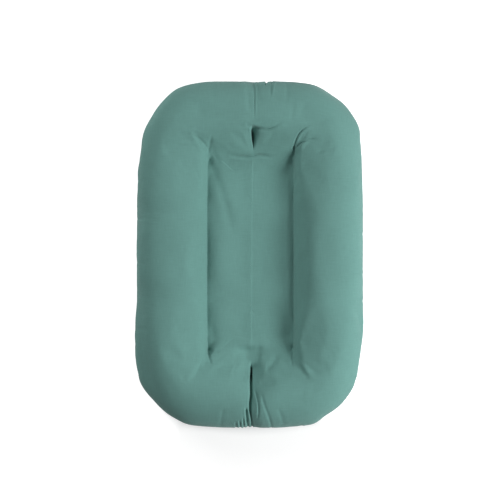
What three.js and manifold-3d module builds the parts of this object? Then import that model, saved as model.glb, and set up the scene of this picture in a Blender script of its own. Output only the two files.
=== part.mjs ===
// Infant lounger: a stuffed rim round a thin sling, in a removable cover that zips shut underneath.
// Millimetres, +Z up, +Y towards the head end. The origin is the middle of the footprint, on the floor.
import * as THREE from "three";
import { mergeVertices } from "three/addons/utils/BufferGeometryUtils.js";
import Module from "manifold-3d";

const wasm = await Module();
wasm.setup();

// Overall sizes
const loungerLength = 711;
const loungerWidth = 470;
const rimHeight = 114;
const rimWidth = 147;
const slingHeight = 60;
const slingSag = 5;
const slingThickness = 15;
const valleyThickness = 10;

// The creases beside the sling, from dimple to dimple, and how far each end's ramp reaches in from the crown
const creaseLength = 464;
const rampReach = 110;
const poleInset = 88;

// How square the plan curves are: exponents of superellipses
const outlineSquareness = { head: 4.1, foot: 3.75 };
const crownSquareness = { head: 5.5, foot: 5 };
const creaseSquareness = { head: 10, foot: 10 };

// The rim's section: its widest level, and how deep the stuffing would reach if the floor did not flatten it
const girthHeight = 55;
const floorFlattening = 9;

// Angles on the rim's section: 0 faces the sling, 90 is the crown, 180 faces outwards
const seamAngle = 190;
const valleyAngle = -4;
const dimpleAngle = 10;

// Turns round the plan: 0 faces the side, 90 the end
const dimpleTurn = { at: 57, spread: 10 };
const rampTurn = { from: 52, to: 68 };

// Cloth and stuffing
const coverCloth = 1;
const linerCloth = 0.6;
const layerGap = 0.35;
const seamGap = 0.3;

// Each end's centre seam lies in a groove, and a tuft is drawn down to the base on the ramp
const endSeams = {
  head: { groove: 3.5, grooveReach: 14, tuft: 30, tuftFromEnd: 119, tuftAcross: 9, tuftAlong: 21 },
  foot: { groove: 8, grooveReach: 12, tuft: 27, tuftFromEnd: 110, tuftAcross: 9, tuftAlong: 15 },
};
const grooveShares = { from: 0.35, to: 0.8 };
const grooveEnd = { from: 160, to: 186 };
const tieRadius = 1.5;
const tieHoleClearance = 0.5;
const washerRadius = 11;
const washerThickness = 2;

// The cover's underside: how far its middle stands off the floor, and where that rise ends
const baseLift = 8;
const baseSeamShare = 0.8;
const baseFlatShare = 0.3;
const baseRiseShare = 0.65;

// Zip: its chain of teeth, and the tapes that carry them inside the cover
const zipChain = 280;
const zipSlotHalf = 7.2;
const zipSlotPastChain = 8;
const tapePastSlot = 12;
const tapeWidth = 12.5;
const tapeThickness = 0.6;
const zipGap = 0.3;
const cordNear = 1.6;
const cordFar = 3.4;
const cordThickness = 1.6;
const toothPitch = 4;
const toothHead = 1.6;
const toothNeck = 1;
const toothReach = 1.2;
const toothThickness = 2.4;
const stopLength = 2.6;
const stopPlate = 0.6;
const stopApart = 0.6;

// Slider: wider where the teeth come in apart, with a wedge between them and a bridge for the pull
const sliderLength = 14;
const sliderMouth = 12.4;
const sliderTail = 10.6;
const sliderCorner = 1.6;
const sliderPlate = 1.1;
const sliderWall = 1.1;
const sliderSlot = 1.2;
const sliderStandoff = 0.5;
const wedgeLength = 4.4;
const wedgeWidth = 2.2;
const wedgeSetback = 0.7;
const bridgeWidth = 1.8;
const bridgeBar = 1;
const bridgeWindow = 3.2;

// Pull
const pullRod = 1.4;
const pullPlay = 0.3;
const pullArm = 1.4;
const pullThickness = 1.3;
const pullEye = 4;
const pullLength = 25;
const pullWidth = 7.5;
const pullCorner = 2;
const pullHole = { from: 12, to: 21, width: 3 };

const overrun = 1;

// Fineness of the soft pieces: where rows turn round each end, and columns across each zone
const turnShares = [0, 0.04, 0.1, 0.17, 0.245, 0.31, 0.37, 0.46, 0.58, 0.76, 1];
const sideRows = 3;
const slingShares = [0, 0.35, 0.7, 0.9];
const slingLiftShares = [0, 0.25, 0.85, 1];
const slingDropShares = [0, 0, 0.03, 0.3];
const slingColumns = slingShares.length;
const rampColumns = 6;
const outerColumns = 5;
const sideColumns = 3;
const floorColumns = 2;
const innerColumns = 3;
const slingSeamShare = 0.74;
const rodSides = 12;

const quarter = Math.PI / 2;
const degrees = Math.PI / 180;

const coverColour = 0x66968c;
const linerColour = 0xe9e4d6;
const fillingColour = 0xf6f4ee;
const zipColour = 0x5b8a80;
const metalColour = 0xb9bcbd;

function mix(from, to, share) {
  return from + (to - from) * share;
}

function smooth(from, to, value) {
  const share = Math.min(1, Math.max(0, (value - from) / (to - from)));
  return share * share * (3 - 2 * share);
}

function bell(distance, reach) {
  return Math.exp(-((distance / reach) ** 2));
}

// Values from one to another in equal steps, leaving out the first
function steps(from, to, count) {
  return Array.from({ length: count }, (unused, i) => mix(from, to, (i + 1) / count));
}

// A plan curve tells how far out a point lies: below 1 inside it, above 1 outside it
function planCurve(width, length, squareness) {
  return (x, y) => {
    const power = y > 0 ? squareness.head : squareness.foot;
    return Math.abs((2 * x) / width) ** power + Math.abs((2 * y) / length) ** power;
  };
}

const outline = planCurve(loungerWidth, loungerLength, outlineSquareness);
const crown = planCurve(loungerWidth - rimWidth, loungerLength - rimWidth, crownSquareness);
const crease = planCurve(loungerWidth - 2 * rimWidth, creaseLength, creaseSquareness);

// Rows turn round a pole near each end of the sling, and cross it between the poles
const rampStart = (loungerLength - rimWidth) / 2 - rampReach;
const pole = rampStart - poleInset;

// Distance from a pole to a plan curve, by halving
function reach(curve, from, direction) {
  let near = 0;
  let far = loungerLength;
  const halvings = 40;
  for (let i = 0; i < halvings; i++) {
    const middle = (near + far) / 2;
    if (curve(direction.x * middle, from + direction.y * middle) < 1) near = middle;
    else far = middle;
  }
  return near;
}

function station(from, turn, end) {
  const sign = end === "head" ? 1 : -1;
  const direction = { x: turn === quarter ? 0 : Math.cos(turn), y: sign * Math.sin(turn) };
  const toOutline = reach(outline, from, direction);
  const toCrown = reach(crown, from, direction);
  const toCrease = reach(crease, from, direction);
  const toRamp = poleInset / Math.sin(Math.max(turn, rampTurn.from * degrees));
  const ramp = smooth(rampTurn.from, rampTurn.to, turn / degrees);
  const dimple = bell(turn / degrees - dimpleTurn.at, dimpleTurn.spread);
  return {
    from,
    direction,
    ramp,
    turned: (sign * turn) / quarter,
    end: { ...endSeams[end], y: sign * (loungerLength / 2 - endSeams[end].tuftFromEnd) },
    toCrown,
    outReach: toOutline - toCrown,
    inReach: toCrown - mix(toCrease, toRamp, ramp),
    valley: valleyAngle - dimpleAngle * dimple,
  };
}

// Stations go round the right half of the rim, from the head's centre seam to the foot's
function makeStations() {
  const head = turnShares.map((share) => station(pole, quarter * (1 - share), "head"));
  const sides = steps(pole, -pole, sideRows).slice(0, -1).map((y) => station(y, 0, "head"));
  const foot = turnShares.map((share) => station(-pole, quarter * (1 - share), "foot"));
  return [...head, ...sides, ...foot.reverse()];
}

const stations = makeStations();
const crownRise = rimHeight - girthHeight;
const girthDrop = girthHeight + floorFlattening;
const flatAngle = Math.asin(girthHeight / girthDrop) / degrees;
const rampFoot = slingHeight - coverCloth;

// A point on the rim, by its distance out from the crown line
function planPoint(at, out, z) {
  const distance = at.toCrown + out;
  return new THREE.Vector3(at.direction.x * distance, at.from + at.direction.y * distance, Math.max(0, z));
}

// The rim's round section at an angle
function tubePoint(at, angle) {
  const out = -Math.cos(angle * degrees);
  const up = Math.sin(angle * degrees);
  const z = girthHeight + up * (up > 0 ? crownRise : girthDrop);
  return planPoint(at, out * (out < 0 ? at.inReach : at.outReach), z);
}

// From the valley or the foot of the ramp up to the crown, by share of the way
function innerSlopePoint(at, share) {
  const tube = tubePoint(at, mix(at.valley, 90, share));
  const ramp = planPoint(at, -at.inReach * (1 - share), mix(rampFoot, rimHeight, smooth(0, 1, share)));
  return tube.lerp(ramp, at.ramp);
}

// The centre seam's groove draws the skin towards the rim's middle, and the tuft draws it down
function seamDrawn(at, p, groove) {
  const { end } = at;
  const centre = planPoint(at, 0, girthHeight);
  const depth = end.groove * bell(p.x, end.grooveReach) * groove;
  p.addScaledVector(centre.sub(p).normalize(), depth);
  p.z -= end.tuft * bell(p.x, end.tuftAcross) * bell(p.y - end.y, end.tuftAlong) * at.ramp;
  return p;
}

function innerSlope(at) {
  return [0, ...steps(0, 1, rampColumns)].map((share) => {
    return seamDrawn(at, innerSlopePoint(at, share), smooth(grooveShares.from, grooveShares.to, share));
  });
}

function outerSlope(at) {
  const angles = [...steps(90, 180, outerColumns), seamAngle];
  return angles.map((angle) => {
    return seamDrawn(at, tubePoint(at, angle), 1 - smooth(grooveEnd.from, grooveEnd.to, angle));
  });
}

// Where a row starts on the centre line: level with it at the sides, fanned out past the pole at the ends
function seamPoint(at, endY, height) {
  const y = at.turned ? mix(at.from, endY * Math.sign(at.turned), Math.abs(at.turned)) : at.from;
  return new THREE.Vector3(0, y, height);
}

// One row of the sling's skin, from the centre line to just before its edge. It sags between the rims.
function slingRow(at, edge, height) {
  const middle = seamPoint(at, rampStart * slingSeamShare, height);
  return slingShares.map((share, i) => {
    const p = middle.clone().lerp(edge, share);
    const lifted = height + slingSag * (1 - at.ramp) * slingLiftShares[i];
    p.z = mix(lifted, edge.z, slingDropShares[i]);
    return p;
  });
}

// Skins are rows of points: each row starts on the centre line and ends at the seam round the outline
const topSkin = stations.map((at) => {
  const slope = innerSlope(at);
  return [...slingRow(at, slope[0], slingHeight), ...slope, ...outerSlope(at)];
});

const outerFlat = flatAngle - 180;
const innerFlat = -flatAngle;
const seamBelow = seamAngle - 360;

// Under the rim: across its flat, then up to the seam round the outline
function underRim(at) {
  const angles = [...steps(innerFlat, outerFlat, floorColumns), ...steps(outerFlat, seamBelow, sideColumns)];
  return angles.map((angle) => tubePoint(at, angle));
}

// The pad's underside: below the sling, down the rim's inner wall and under the rim
const padUnderside = stations.map((at) => {
  const belowValley = at.valley - valleyThickness / girthDrop / degrees;
  const belowRamp = Math.asin((slingHeight - slingThickness - girthHeight) / girthDrop) / degrees;
  const start = mix(belowValley, belowRamp, at.ramp);
  const wall = [start, ...steps(start, innerFlat, innerColumns)].map((angle) => tubePoint(at, angle));
  return [...slingRow(at, wall[0], slingHeight - slingThickness), ...wall, ...underRim(at)];
});

// The cover's underside: from the zip across to the rim's flat, then round it
const coverUnderside = stations.map((at) => {
  const contact = tubePoint(at, innerFlat);
  const contactEnd = (loungerLength - rimWidth) / 2 - rampReach * Math.cos(innerFlat * degrees);
  const middle = seamPoint(at, contactEnd * baseSeamShare, baseLift);
  const rise = [0, baseFlatShare, baseRiseShare].map((share) => {
    const p = middle.clone().lerp(contact, share);
    p.z = baseLift * (1 - smooth(baseFlatShare, 1, share));
    return p;
  });
  return [...rise, contact, ...underRim(at)];
});

// Inward normals of a skin's points. At the centre line they have no sideways part, as the halves mirror.
function inwardNormals(skin, upwards) {
  const rows = skin.length;
  const columns = skin[0].length;
  return skin.map((row, i) =>
    row.map((p, j) => {
      const along = skin[Math.min(rows - 1, i + 1)][j].clone().sub(skin[Math.max(0, i - 1)][j]);
      const normal = new THREE.Vector3();
      for (const [a, b] of [[j - 1, j], [j, j + 1]]) {
        if (a < 0 || b >= columns) continue;
        const across = row[b].clone().sub(row[a]);
        normal.add(across.cross(along).normalize());
      }
      if (upwards) normal.negate();
      if (j === columns - 1) normal.z = 0;
      if (i === 0 || i === rows - 1 || j === 0) normal.x = 0;
      return normal.length() ? normal.normalize() : new THREE.Vector3(0, 0, upwards ? 1 : -1);
    }),
  );
}

function offsetSkin(skin, normals, depth) {
  return skin.map((row, i) => row.map((p, j) => p.clone().addScaledVector(normals[i][j], depth)));
}

const topInwards = inwardNormals(topSkin, false);
const undersideInwards = inwardNormals(padUnderside, true);
const coverInwards = inwardNormals(coverUnderside, true);

// Closed geometries, as lists of triangles

class Shell {
  constructor(turned) {
    this.points = [];
    this.turned = turned;
  }

  // Both faces of a layer are split along the same diagonals, so that nested layers stay apart
  quad(a, b, c, d, turned) {
    const corners = turned === this.turned ? [a, b, c, a, c, d] : [a, c, b, a, d, c];
    for (const p of corners) this.points.push(p.x, p.y, p.z);
  }

  // A strip of quads between two rows of points
  strip(first, second, turned = false) {
    for (let i = 0; i + 1 < first.length; i++) {
      this.quad(first[i], second[i], second[i + 1], first[i + 1], turned);
    }
  }

  sheet(rows, turned = false) {
    for (let i = 0; i + 1 < rows.length; i++) this.strip(rows[i], rows[i + 1], turned);
  }

  geometry() {
    const made = new THREE.BufferGeometry();
    made.setAttribute("position", new THREE.Float32BufferAttribute(this.points, 3));
    const weld = 1e-3;
    return mergeVertices(made, weld);
  }
}

const column = (rows, j) => rows.map((row) => row[j]);
const last = (list) => list[list.length - 1];
const lastColumn = (rows) => column(rows, rows[0].length - 1);

// The solid between two skins of the same rows and columns. The first skin is the upper one.
function layer(upper, lower, turned) {
  const shell = new Shell(turned);
  shell.sheet(upper);
  shell.sheet(lower, true);
  shell.strip(lower[0], upper[0]);
  shell.strip(last(upper), last(lower));
  shell.strip(column(upper, 0), column(lower, 0));
  shell.strip(lastColumn(lower), lastColumn(upper));
  return shell.geometry();
}

const mirrored = (p) => new THREE.Vector3(-p.x, p.y, p.z);
const besideSeam = (p) => new THREE.Vector3(Math.max(p.x, seamGap / 2), p.y, p.z);

function half(upper, lower, side) {
  const place = side === "right" ? besideSeam : (p) => mirrored(besideSeam(p));
  const rows = (skin) => skin.map((row) => row.map(place));
  return layer(rows(upper), rows(lower), side === "left");
}

// Manifold solids, for holes and joins

function solid(geometry) {
  const bare = geometry.clone();
  bare.deleteAttribute("normal");
  bare.deleteAttribute("uv");
  const weld = 1e-3;
  const merged = mergeVertices(bare, weld);
  return new wasm.Manifold(
    new wasm.Mesh({
      numProp: 3,
      vertProperties: merged.attributes.position.array,
      triVerts: new Uint32Array(merged.index.array),
    }),
  );
}

function geometryOf(made) {
  const mesh = made.getMesh();
  const geometry = new THREE.BufferGeometry();
  geometry.setAttribute("position", new THREE.BufferAttribute(new Float32Array(mesh.vertProperties), 3));
  geometry.setIndex(new THREE.BufferAttribute(new Uint32Array(mesh.triVerts), 1));
  return geometry;
}

function joined(...geometries) {
  return geometryOf(geometries.map(solid).reduce((whole, piece) => whole.add(piece)));
}

function cut(geometry, ...tools) {
  return geometryOf(tools.map(solid).reduce((whole, tool) => whole.subtract(tool), solid(geometry)));
}

// A box by its low and high corners
function block(low, high) {
  const size = high.map((value, i) => value - low[i]);
  const middle = high.map((value, i) => (value + low[i]) / 2);
  return new THREE.BoxGeometry(...size).translate(...middle);
}

function outlineShape(points) {
  return new THREE.Shape(points.map(([x, y]) => new THREE.Vector2(x, y)));
}

// An outline in plan, raised between two heights
function slab(points, low, high) {
  const settings = { depth: high - low, bevelEnabled: false };
  return new THREE.ExtrudeGeometry(outlineShape(points), settings).translate(0, 0, low);
}

function named(name, geometry, colour, roughness, metalness) {
  const flat = geometry.index ? geometry.toNonIndexed() : geometry;
  flat.computeVertexNormals();
  const made = new THREE.Mesh(flat, new THREE.MeshStandardMaterial({ color: colour, roughness, metalness }));
  made.name = name;
  return made;
}

const clothRoughness = 0.9;
const metalRoughness = 0.35;
const cloth = (name, geometry, colour) => named(name, geometry, colour, clothRoughness, 0);
const metal = (name, geometry) => named(name, geometry, metalColour, metalRoughness, 1);

// Layers of the pad, from the outside in, as depths below the skin
const linerOuter = coverCloth + layerGap;
const linerInner = linerOuter + linerCloth;
const fillingOuter = linerInner + layerGap;

// A skin's height above a place on the centre seam
function heightOnSeam(row, y) {
  const index = row.findIndex((p, i) => i && (p.y - y) * (row[i - 1].y - y) <= 0);
  const [a, b] = [row[index - 1], row[index]];
  return mix(a.z, b.z, (y - a.y) / (b.y - a.y));
}

// The tufts' ties hang from the cover's seam and are held by a washer on the liner's base
const ties = [stations[0], last(stations)].map((at) => {
  const end = at === stations[0] ? "head" : "foot";
  const row = offsetSkin(topSkin, topInwards, linerOuter)[stations.indexOf(at)];
  const seats = [at.end.y - tieRadius, at.end.y, at.end.y + tieRadius].map((y) => heightOnSeam(row, y));
  const low = fillingOuter + washerThickness + layerGap;
  return { end, y: at.end.y, low, high: Math.min(...seats) - seamGap };
});

function rod(y, radius, low, high) {
  const made = new THREE.CylinderGeometry(radius, radius, high - low, rodSides);
  return made.rotateX(quarter).translate(0, y, (low + high) / 2);
}

function tieHoles(low) {
  return ties.map((tie) => rod(tie.y, tieRadius + tieHoleClearance, low, rimHeight));
}

function washerSeats() {
  const high = fillingOuter + washerThickness + layerGap;
  return ties.map((tie) => rod(tie.y, washerRadius + layerGap, 0, high));
}

function coverTop(side) {
  const inner = offsetSkin(topSkin, topInwards, coverCloth);
  return cloth("cover_top_" + side, half(topSkin, inner, side), coverColour);
}

function linerTop(side) {
  const outer = offsetSkin(topSkin, topInwards, linerOuter);
  const inner = offsetSkin(topSkin, topInwards, linerInner);
  return cloth("liner_top_" + side, cut(half(outer, inner, side), ...tieHoles(girthHeight)), linerColour);
}

// The lower skins stop short of the seam round the outline, where the upper ones end
function shortOfSeam(skin) {
  return skin.map((row) => {
    const edge = last(row);
    const before = row[row.length - 2];
    const stop = edge.clone().lerp(before, seamGap / edge.distanceTo(before));
    return [...row.slice(0, -1), stop];
  });
}

function linerBase(side) {
  const skin = shortOfSeam(padUnderside);
  const outer = offsetSkin(skin, undersideInwards, linerOuter);
  const inner = offsetSkin(skin, undersideInwards, linerInner);
  return cloth("liner_base_" + side, half(inner, outer, side), linerColour);
}

const slotEnd = zipChain / 2 + zipSlotPastChain;
const zipSlot = block([-zipSlotHalf, -slotEnd, -overrun], [zipSlotHalf, slotEnd, girthHeight]);

function coverBase(side) {
  const skin = shortOfSeam(coverUnderside);
  const inner = offsetSkin(skin, coverInwards, coverCloth);
  return cloth("cover_base_" + side, cut(half(inner, skin, side), zipSlot), coverColour);
}

// One solid across both halves, between the liner's top and its base, over some of the skins' columns
function stuffing(from, to, lowerTo) {
  const rows = (skin, inwards, end) => {
    return offsetSkin(skin, inwards, fillingOuter).map((row) => row.slice(from, end));
  };
  const upper = rows(topSkin, topInwards, to);
  const lower = rows(shortOfSeam(padUnderside), undersideInwards, lowerTo);
  const other = (skin) => skin.map((row) => row.map(mirrored));
  const shell = new Shell(false);
  const sides = [
    [upper, lower, false],
    [other(upper), other(lower), true],
  ];
  for (const [high, low, turned] of sides) {
    shell.sheet(high, turned);
    shell.sheet(low, !turned);
    shell.strip(lastColumn(low), lastColumn(high), turned);
    if (from) shell.strip(column(high, 0), column(low, 0), turned);
  }
  return shell.geometry();
}

function rimFilling() {
  const holes = [...tieHoles(0), ...washerSeats()];
  return cloth("rim_filling", cut(stuffing(slingColumns), ...holes), fillingColour);
}

function slingWadding() {
  return cloth("sling_wadding", stuffing(0, slingColumns, slingColumns), fillingColour);
}

function tuftTie(tie) {
  return cloth("tuft_tie_" + tie.end, rod(tie.y, tieRadius, tie.low, tie.high), coverColour);
}

function tuftWasher(tie) {
  const disc = rod(tie.y, washerRadius, fillingOuter, fillingOuter + washerThickness);
  return cloth("tuft_washer_" + tie.end, cut(disc, ...tieHoles(0)), linerColour);
}

// Zip, seen with its pull underneath. The tapes lie on the inside of the cover's base.
const tapeMiddle = baseLift + coverCloth + zipGap + tapeThickness / 2;
const chainEnd = zipChain / 2;
const sliderFront = chainEnd - stopLength - sliderStandoff;
const sliderBack = sliderFront - sliderLength;
const wedgeFront = sliderFront - wedgeSetback;
const wedgeBack = wedgeFront - wedgeLength;

function level(thickness) {
  return [tapeMiddle - thickness / 2, tapeMiddle + thickness / 2];
}

function onSide(geometry, side) {
  return side === "right" ? geometry : geometryOf(solid(geometry).mirror([1, 0, 0]));
}

function zipTape(side) {
  const [low, high] = level(tapeThickness);
  const near = cordFar + zipGap;
  const end = slotEnd + tapePastSlot;
  const tape = block([near, -end, low], [near + tapeWidth, end, high]);
  return cloth("zip_tape_" + side, onSide(tape, side), zipColour);
}

// A tooth reaches across the middle, and widens towards its head as a dovetail does
function tooth(y) {
  const outline = [
    [cordNear + zipGap, -toothNeck / 2],
    [cordNear + zipGap, toothNeck / 2],
    [-toothReach, toothHead / 2],
    [-toothReach, -toothHead / 2],
  ];
  return slab(outline, ...level(toothThickness)).translate(0, y, 0);
}

function zipTeeth(side) {
  const [low, high] = level(cordThickness);
  const cord = block([cordNear, -chainEnd, low], [cordFar, chainEnd, high]);
  const shift = side === "right" ? 0 : toothPitch / 2;
  const first = -chainEnd + stopLength + toothPitch / 2;
  const room = wedgeBack - zipGap - toothHead / 2 - first - toothPitch / 2;
  const count = Math.floor(room / toothPitch) + 1;
  const teeth = Array.from({ length: count }, (unused, i) => tooth(first + shift + i * toothPitch));
  return cloth("zip_teeth_" + side, onSide(joined(cord, ...teeth), side), zipColour);
}

// Stops clamp the cords from above and below, from a web beside them
function zipStop(name, from, y, side) {
  const clamp = cordThickness + 2 * (zipGap + stopPlate);
  const [low, high] = level(clamp);
  const [grooveLow, grooveHigh] = level(cordThickness + 2 * zipGap);
  const whole = block([from, y, low], [cordFar, y + stopLength, high]);
  const groove = (x0, x1) => block([x0, y - overrun, grooveLow], [x1, y + stopLength + overrun, grooveHigh]);
  const web = cordNear - zipGap;
  const grooves = [groove(web, cordFar + overrun)];
  if (from < 0) grooves.push(groove(-cordFar - overrun, -web));
  return metal(name, onSide(cut(whole, ...grooves), side));
}

// The other half of an outline that starts at the back on the right
function acrossMirror(half) {
  return [...half].reverse().map(([x, y]) => [-x, y]);
}

// The slider's outline in plan, drawn in by some inset
function sliderOutline(inset, past) {
  const mouth = sliderMouth / 2 - inset;
  const tail = sliderTail / 2 - inset;
  const corner = Math.max(sliderCorner - inset - past, 0);
  const half = [
    [tail - corner, sliderBack - past],
    [tail, sliderBack - past + corner],
    [mouth, sliderFront + past - corner],
    [mouth - corner, sliderFront + past],
  ];
  const kept = corner ? half : [half[0], half[3]];
  return [...kept, ...acrossMirror(kept)];
}

function wedgeOutline() {
  const half = wedgeWidth / 2;
  const shoulder = wedgeFront - half;
  const right = [
    [half, shoulder],
    [half / 2, wedgeFront],
  ];
  return [[0, wedgeBack], ...right, ...acrossMirror(right)];
}

const sliderInside = toothThickness + 2 * zipGap;
const sliderMiddle = (sliderFront + sliderBack) / 2;
const pullCentre = { y: sliderMiddle, z: level(sliderInside)[0] - sliderPlate - pullPlay - pullRod / 2 };

function bridge() {
  const top = level(sliderInside)[0] - sliderPlate;
  const windowLow = pullCentre.z - pullRod / 2 - pullPlay;
  const reachOut = bridgeWindow / 2 + bridgeBar;
  const whole = block(
    [-bridgeWidth / 2, sliderMiddle - reachOut, windowLow - bridgeBar],
    [bridgeWidth / 2, sliderMiddle + reachOut, top + sliderPlate / 2],
  );
  const window = block(
    [-bridgeWidth / 2 - overrun, sliderMiddle - bridgeWindow / 2, windowLow],
    [bridgeWidth / 2 + overrun, sliderMiddle + bridgeWindow / 2, top],
  );
  return cut(whole, window);
}

function zipSlider() {
  const [low, high] = level(sliderInside);
  const body = slab(sliderOutline(0, 0), low - sliderPlate, high + sliderPlate);
  const channel = slab(sliderOutline(sliderWall, overrun), low, high);
  const [slotLow, slotHigh] = level(sliderSlot);
  const slot = block(
    [-sliderMouth, sliderBack - overrun, slotLow],
    [sliderMouth, sliderFront + overrun, slotHigh],
  );
  const wedge = slab(wedgeOutline(), low - sliderPlate / 2, high + sliderPlate / 2);
  return metal("zip_slider", joined(cut(body, channel, slot), wedge, bridge()));
}

// The pull lies flat below the chain, and swings about the rod that passes through the bridge
function zipPull() {
  const { y, z } = pullCentre;
  const eye = bridgeWidth / 2 + pullPlay;
  const arm = eye + pullArm;
  const half = [
    [arm, y],
    [arm, y - pullEye],
    [pullWidth / 2, y - pullLength + pullCorner],
    [pullWidth / 2 - pullCorner, y - pullLength],
  ];
  const plate = slab([...half, ...acrossMirror(half)], z - pullThickness / 2, z + pullThickness / 2);
  const hole = (across, from, to) => {
    return block([-across, y - to, z - pullThickness], [across, y - from, z + pullThickness]);
  };
  const grip = hole(pullHole.width / 2, pullHole.from, pullHole.to);
  const axle = new THREE.CylinderGeometry(pullRod / 2, pullRod / 2, 2 * arm, rodSides);
  axle.rotateZ(quarter).translate(0, y, z);
  return metal("zip_pull", joined(cut(plate, hole(eye, -overrun, pullEye), grip), axle));
}

const group = new THREE.Group();
for (const side of ["left", "right"]) {
  group.add(coverTop(side), coverBase(side));
  group.add(linerTop(side), linerBase(side));
  group.add(zipTape(side), zipTeeth(side));
  group.add(zipStop("zip_top_stop_" + side, stopApart / 2, chainEnd - stopLength, side));
}
group.add(zipStop("zip_bottom_stop", -cordFar, -chainEnd, "right"), zipSlider(), zipPull());
group.add(rimFilling(), slingWadding());
for (const tie of ties) group.add(tuftTie(tie), tuftWasher(tie));

export default group;
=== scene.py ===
"""Infant lounger: the looks of its cotton cover, casing, filling, tufts and zip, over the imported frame."""

import math

import bmesh
import bpy
import numpy as np
from bpy.props import FloatProperty, FloatVectorProperty, PointerProperty
from mathutils import Matrix, Vector, noise


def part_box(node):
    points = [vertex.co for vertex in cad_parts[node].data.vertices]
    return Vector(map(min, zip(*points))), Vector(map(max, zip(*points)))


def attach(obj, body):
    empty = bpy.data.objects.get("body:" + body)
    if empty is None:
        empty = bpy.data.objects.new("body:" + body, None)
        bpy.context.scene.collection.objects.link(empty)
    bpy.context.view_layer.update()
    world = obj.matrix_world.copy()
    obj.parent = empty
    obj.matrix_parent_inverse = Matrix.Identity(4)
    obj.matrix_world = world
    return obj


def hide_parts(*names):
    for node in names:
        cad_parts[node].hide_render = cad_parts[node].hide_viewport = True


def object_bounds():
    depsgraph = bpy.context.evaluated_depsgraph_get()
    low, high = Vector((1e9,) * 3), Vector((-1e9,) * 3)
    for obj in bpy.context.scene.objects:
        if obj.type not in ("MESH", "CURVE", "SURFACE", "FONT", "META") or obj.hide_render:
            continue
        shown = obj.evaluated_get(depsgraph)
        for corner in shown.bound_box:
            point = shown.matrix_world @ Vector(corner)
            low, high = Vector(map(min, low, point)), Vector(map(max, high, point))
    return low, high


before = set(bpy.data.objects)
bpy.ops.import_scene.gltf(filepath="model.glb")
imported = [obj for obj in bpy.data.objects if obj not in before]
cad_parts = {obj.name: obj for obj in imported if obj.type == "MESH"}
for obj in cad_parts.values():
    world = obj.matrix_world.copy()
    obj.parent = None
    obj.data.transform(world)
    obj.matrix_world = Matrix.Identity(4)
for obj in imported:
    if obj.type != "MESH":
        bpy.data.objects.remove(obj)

bl_info = {
    "name": "Infant Lounger",
    "version": (1, 0, 0),
    "blender": (4, 5, 0),
    "location": "View3D > Sidebar > Lounger",
    "description": "Makes a padded infant lounger with its cover, filling, tufts and zip",
    "category": "Add Mesh",
}

LOW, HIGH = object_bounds()
MM = 0.001
PAD, SLIDER, PULL = "pad", "slider", "pull"
SIDES = {"left": -1, "right": 1}

# The photograph's size in pixels, its scale and the lounger's middle in it, to place a fold where it shows
PICTURE = 500
PIXEL = 2.055 * MM
MIDDLE = (250, 254.5)


def linear(red, green, blue):
    """A colour as it looks on screen, in the scene's linear values."""
    return tuple(c / 12.92 if c <= 0.04045 else ((c + 0.055) / 1.055) ** 2.4 for c in (red, green, blue))


def length(name, description, default, **limits):
    settings = {"unit": "LENGTH", "subtype": "DISTANCE", "precision": 4, **limits}
    return FloatProperty(name=name, description=description, default=default, **settings)


def colour(name, description, default):
    return FloatVectorProperty(
        name=name, description=description, default=linear(*default), subtype="COLOR", size=3, min=0, max=1
    )


class LoungerSizes(bpy.types.PropertyGroup):
    """The pad's and the cloth's sizes"""

    long: length("Length", "From the head's edge to the foot's", HIGH.y - LOW.y)
    wide: length("Width", "Across the middle", HIGH.x - LOW.x)
    rim_height: length("Rim height", "From the floor to the crown of the rim", HIGH.z - LOW.z)
    rim_width: length("Rim width", "From the sling's crease to the outline", 147 * MM)
    girth_height: length("Girth height", "Where the rim is widest", 55 * MM)
    floor_flattening: length("Floor flattening", "How much the floor flattens the rim", 9 * MM)
    sling_height: length("Sling height", "The sling's top, over the floor", 60 * MM)
    sling_sag: length("Sling sag", "How much lower its middle lies than its sides", 8 * MM)
    sling_thickness: length("Sling thickness", "Of the padded sling", 15 * MM)
    valley_thickness: length("Valley thickness", "Of the pad in the crease beside the sling", 10 * MM)
    crease_length: length("Crease length", "From dimple to dimple", 464 * MM)
    ramp_reach: length("Ramp reach", "How far each end's ramp reaches in from the crown", 110 * MM)
    pole_inset: length("Pole inset", "From a ramp's foot to the pole that its rows turn round", 88 * MM)
    base_lift: length("Base lift", "The cover's underside over the floor, in the middle", 8 * MM)
    cover_cloth: length("Cover cloth", "Thickness of the cover's cotton", 1 * MM)
    casing_cloth: length("Casing cloth", "Thickness of the casing's cotton", 0.6 * MM)
    casing_depth: length("Casing depth", "From the cover's face to the casing's", 2.2 * MM)
    filling_depth: length("Filling depth", "From the cover's face to the filling", 3.4 * MM)
    puff: FloatProperty(name="Puff", description="Pressure of the stuffing", default=0.02, min=0, max=20)
    slack: FloatProperty(name="Slack", description="Spare cloth, as a share", default=0.004, min=0, max=0.1)
    settling: length("Settling", "The furthest that the cloth may move as it settles", 7 * MM)


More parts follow.
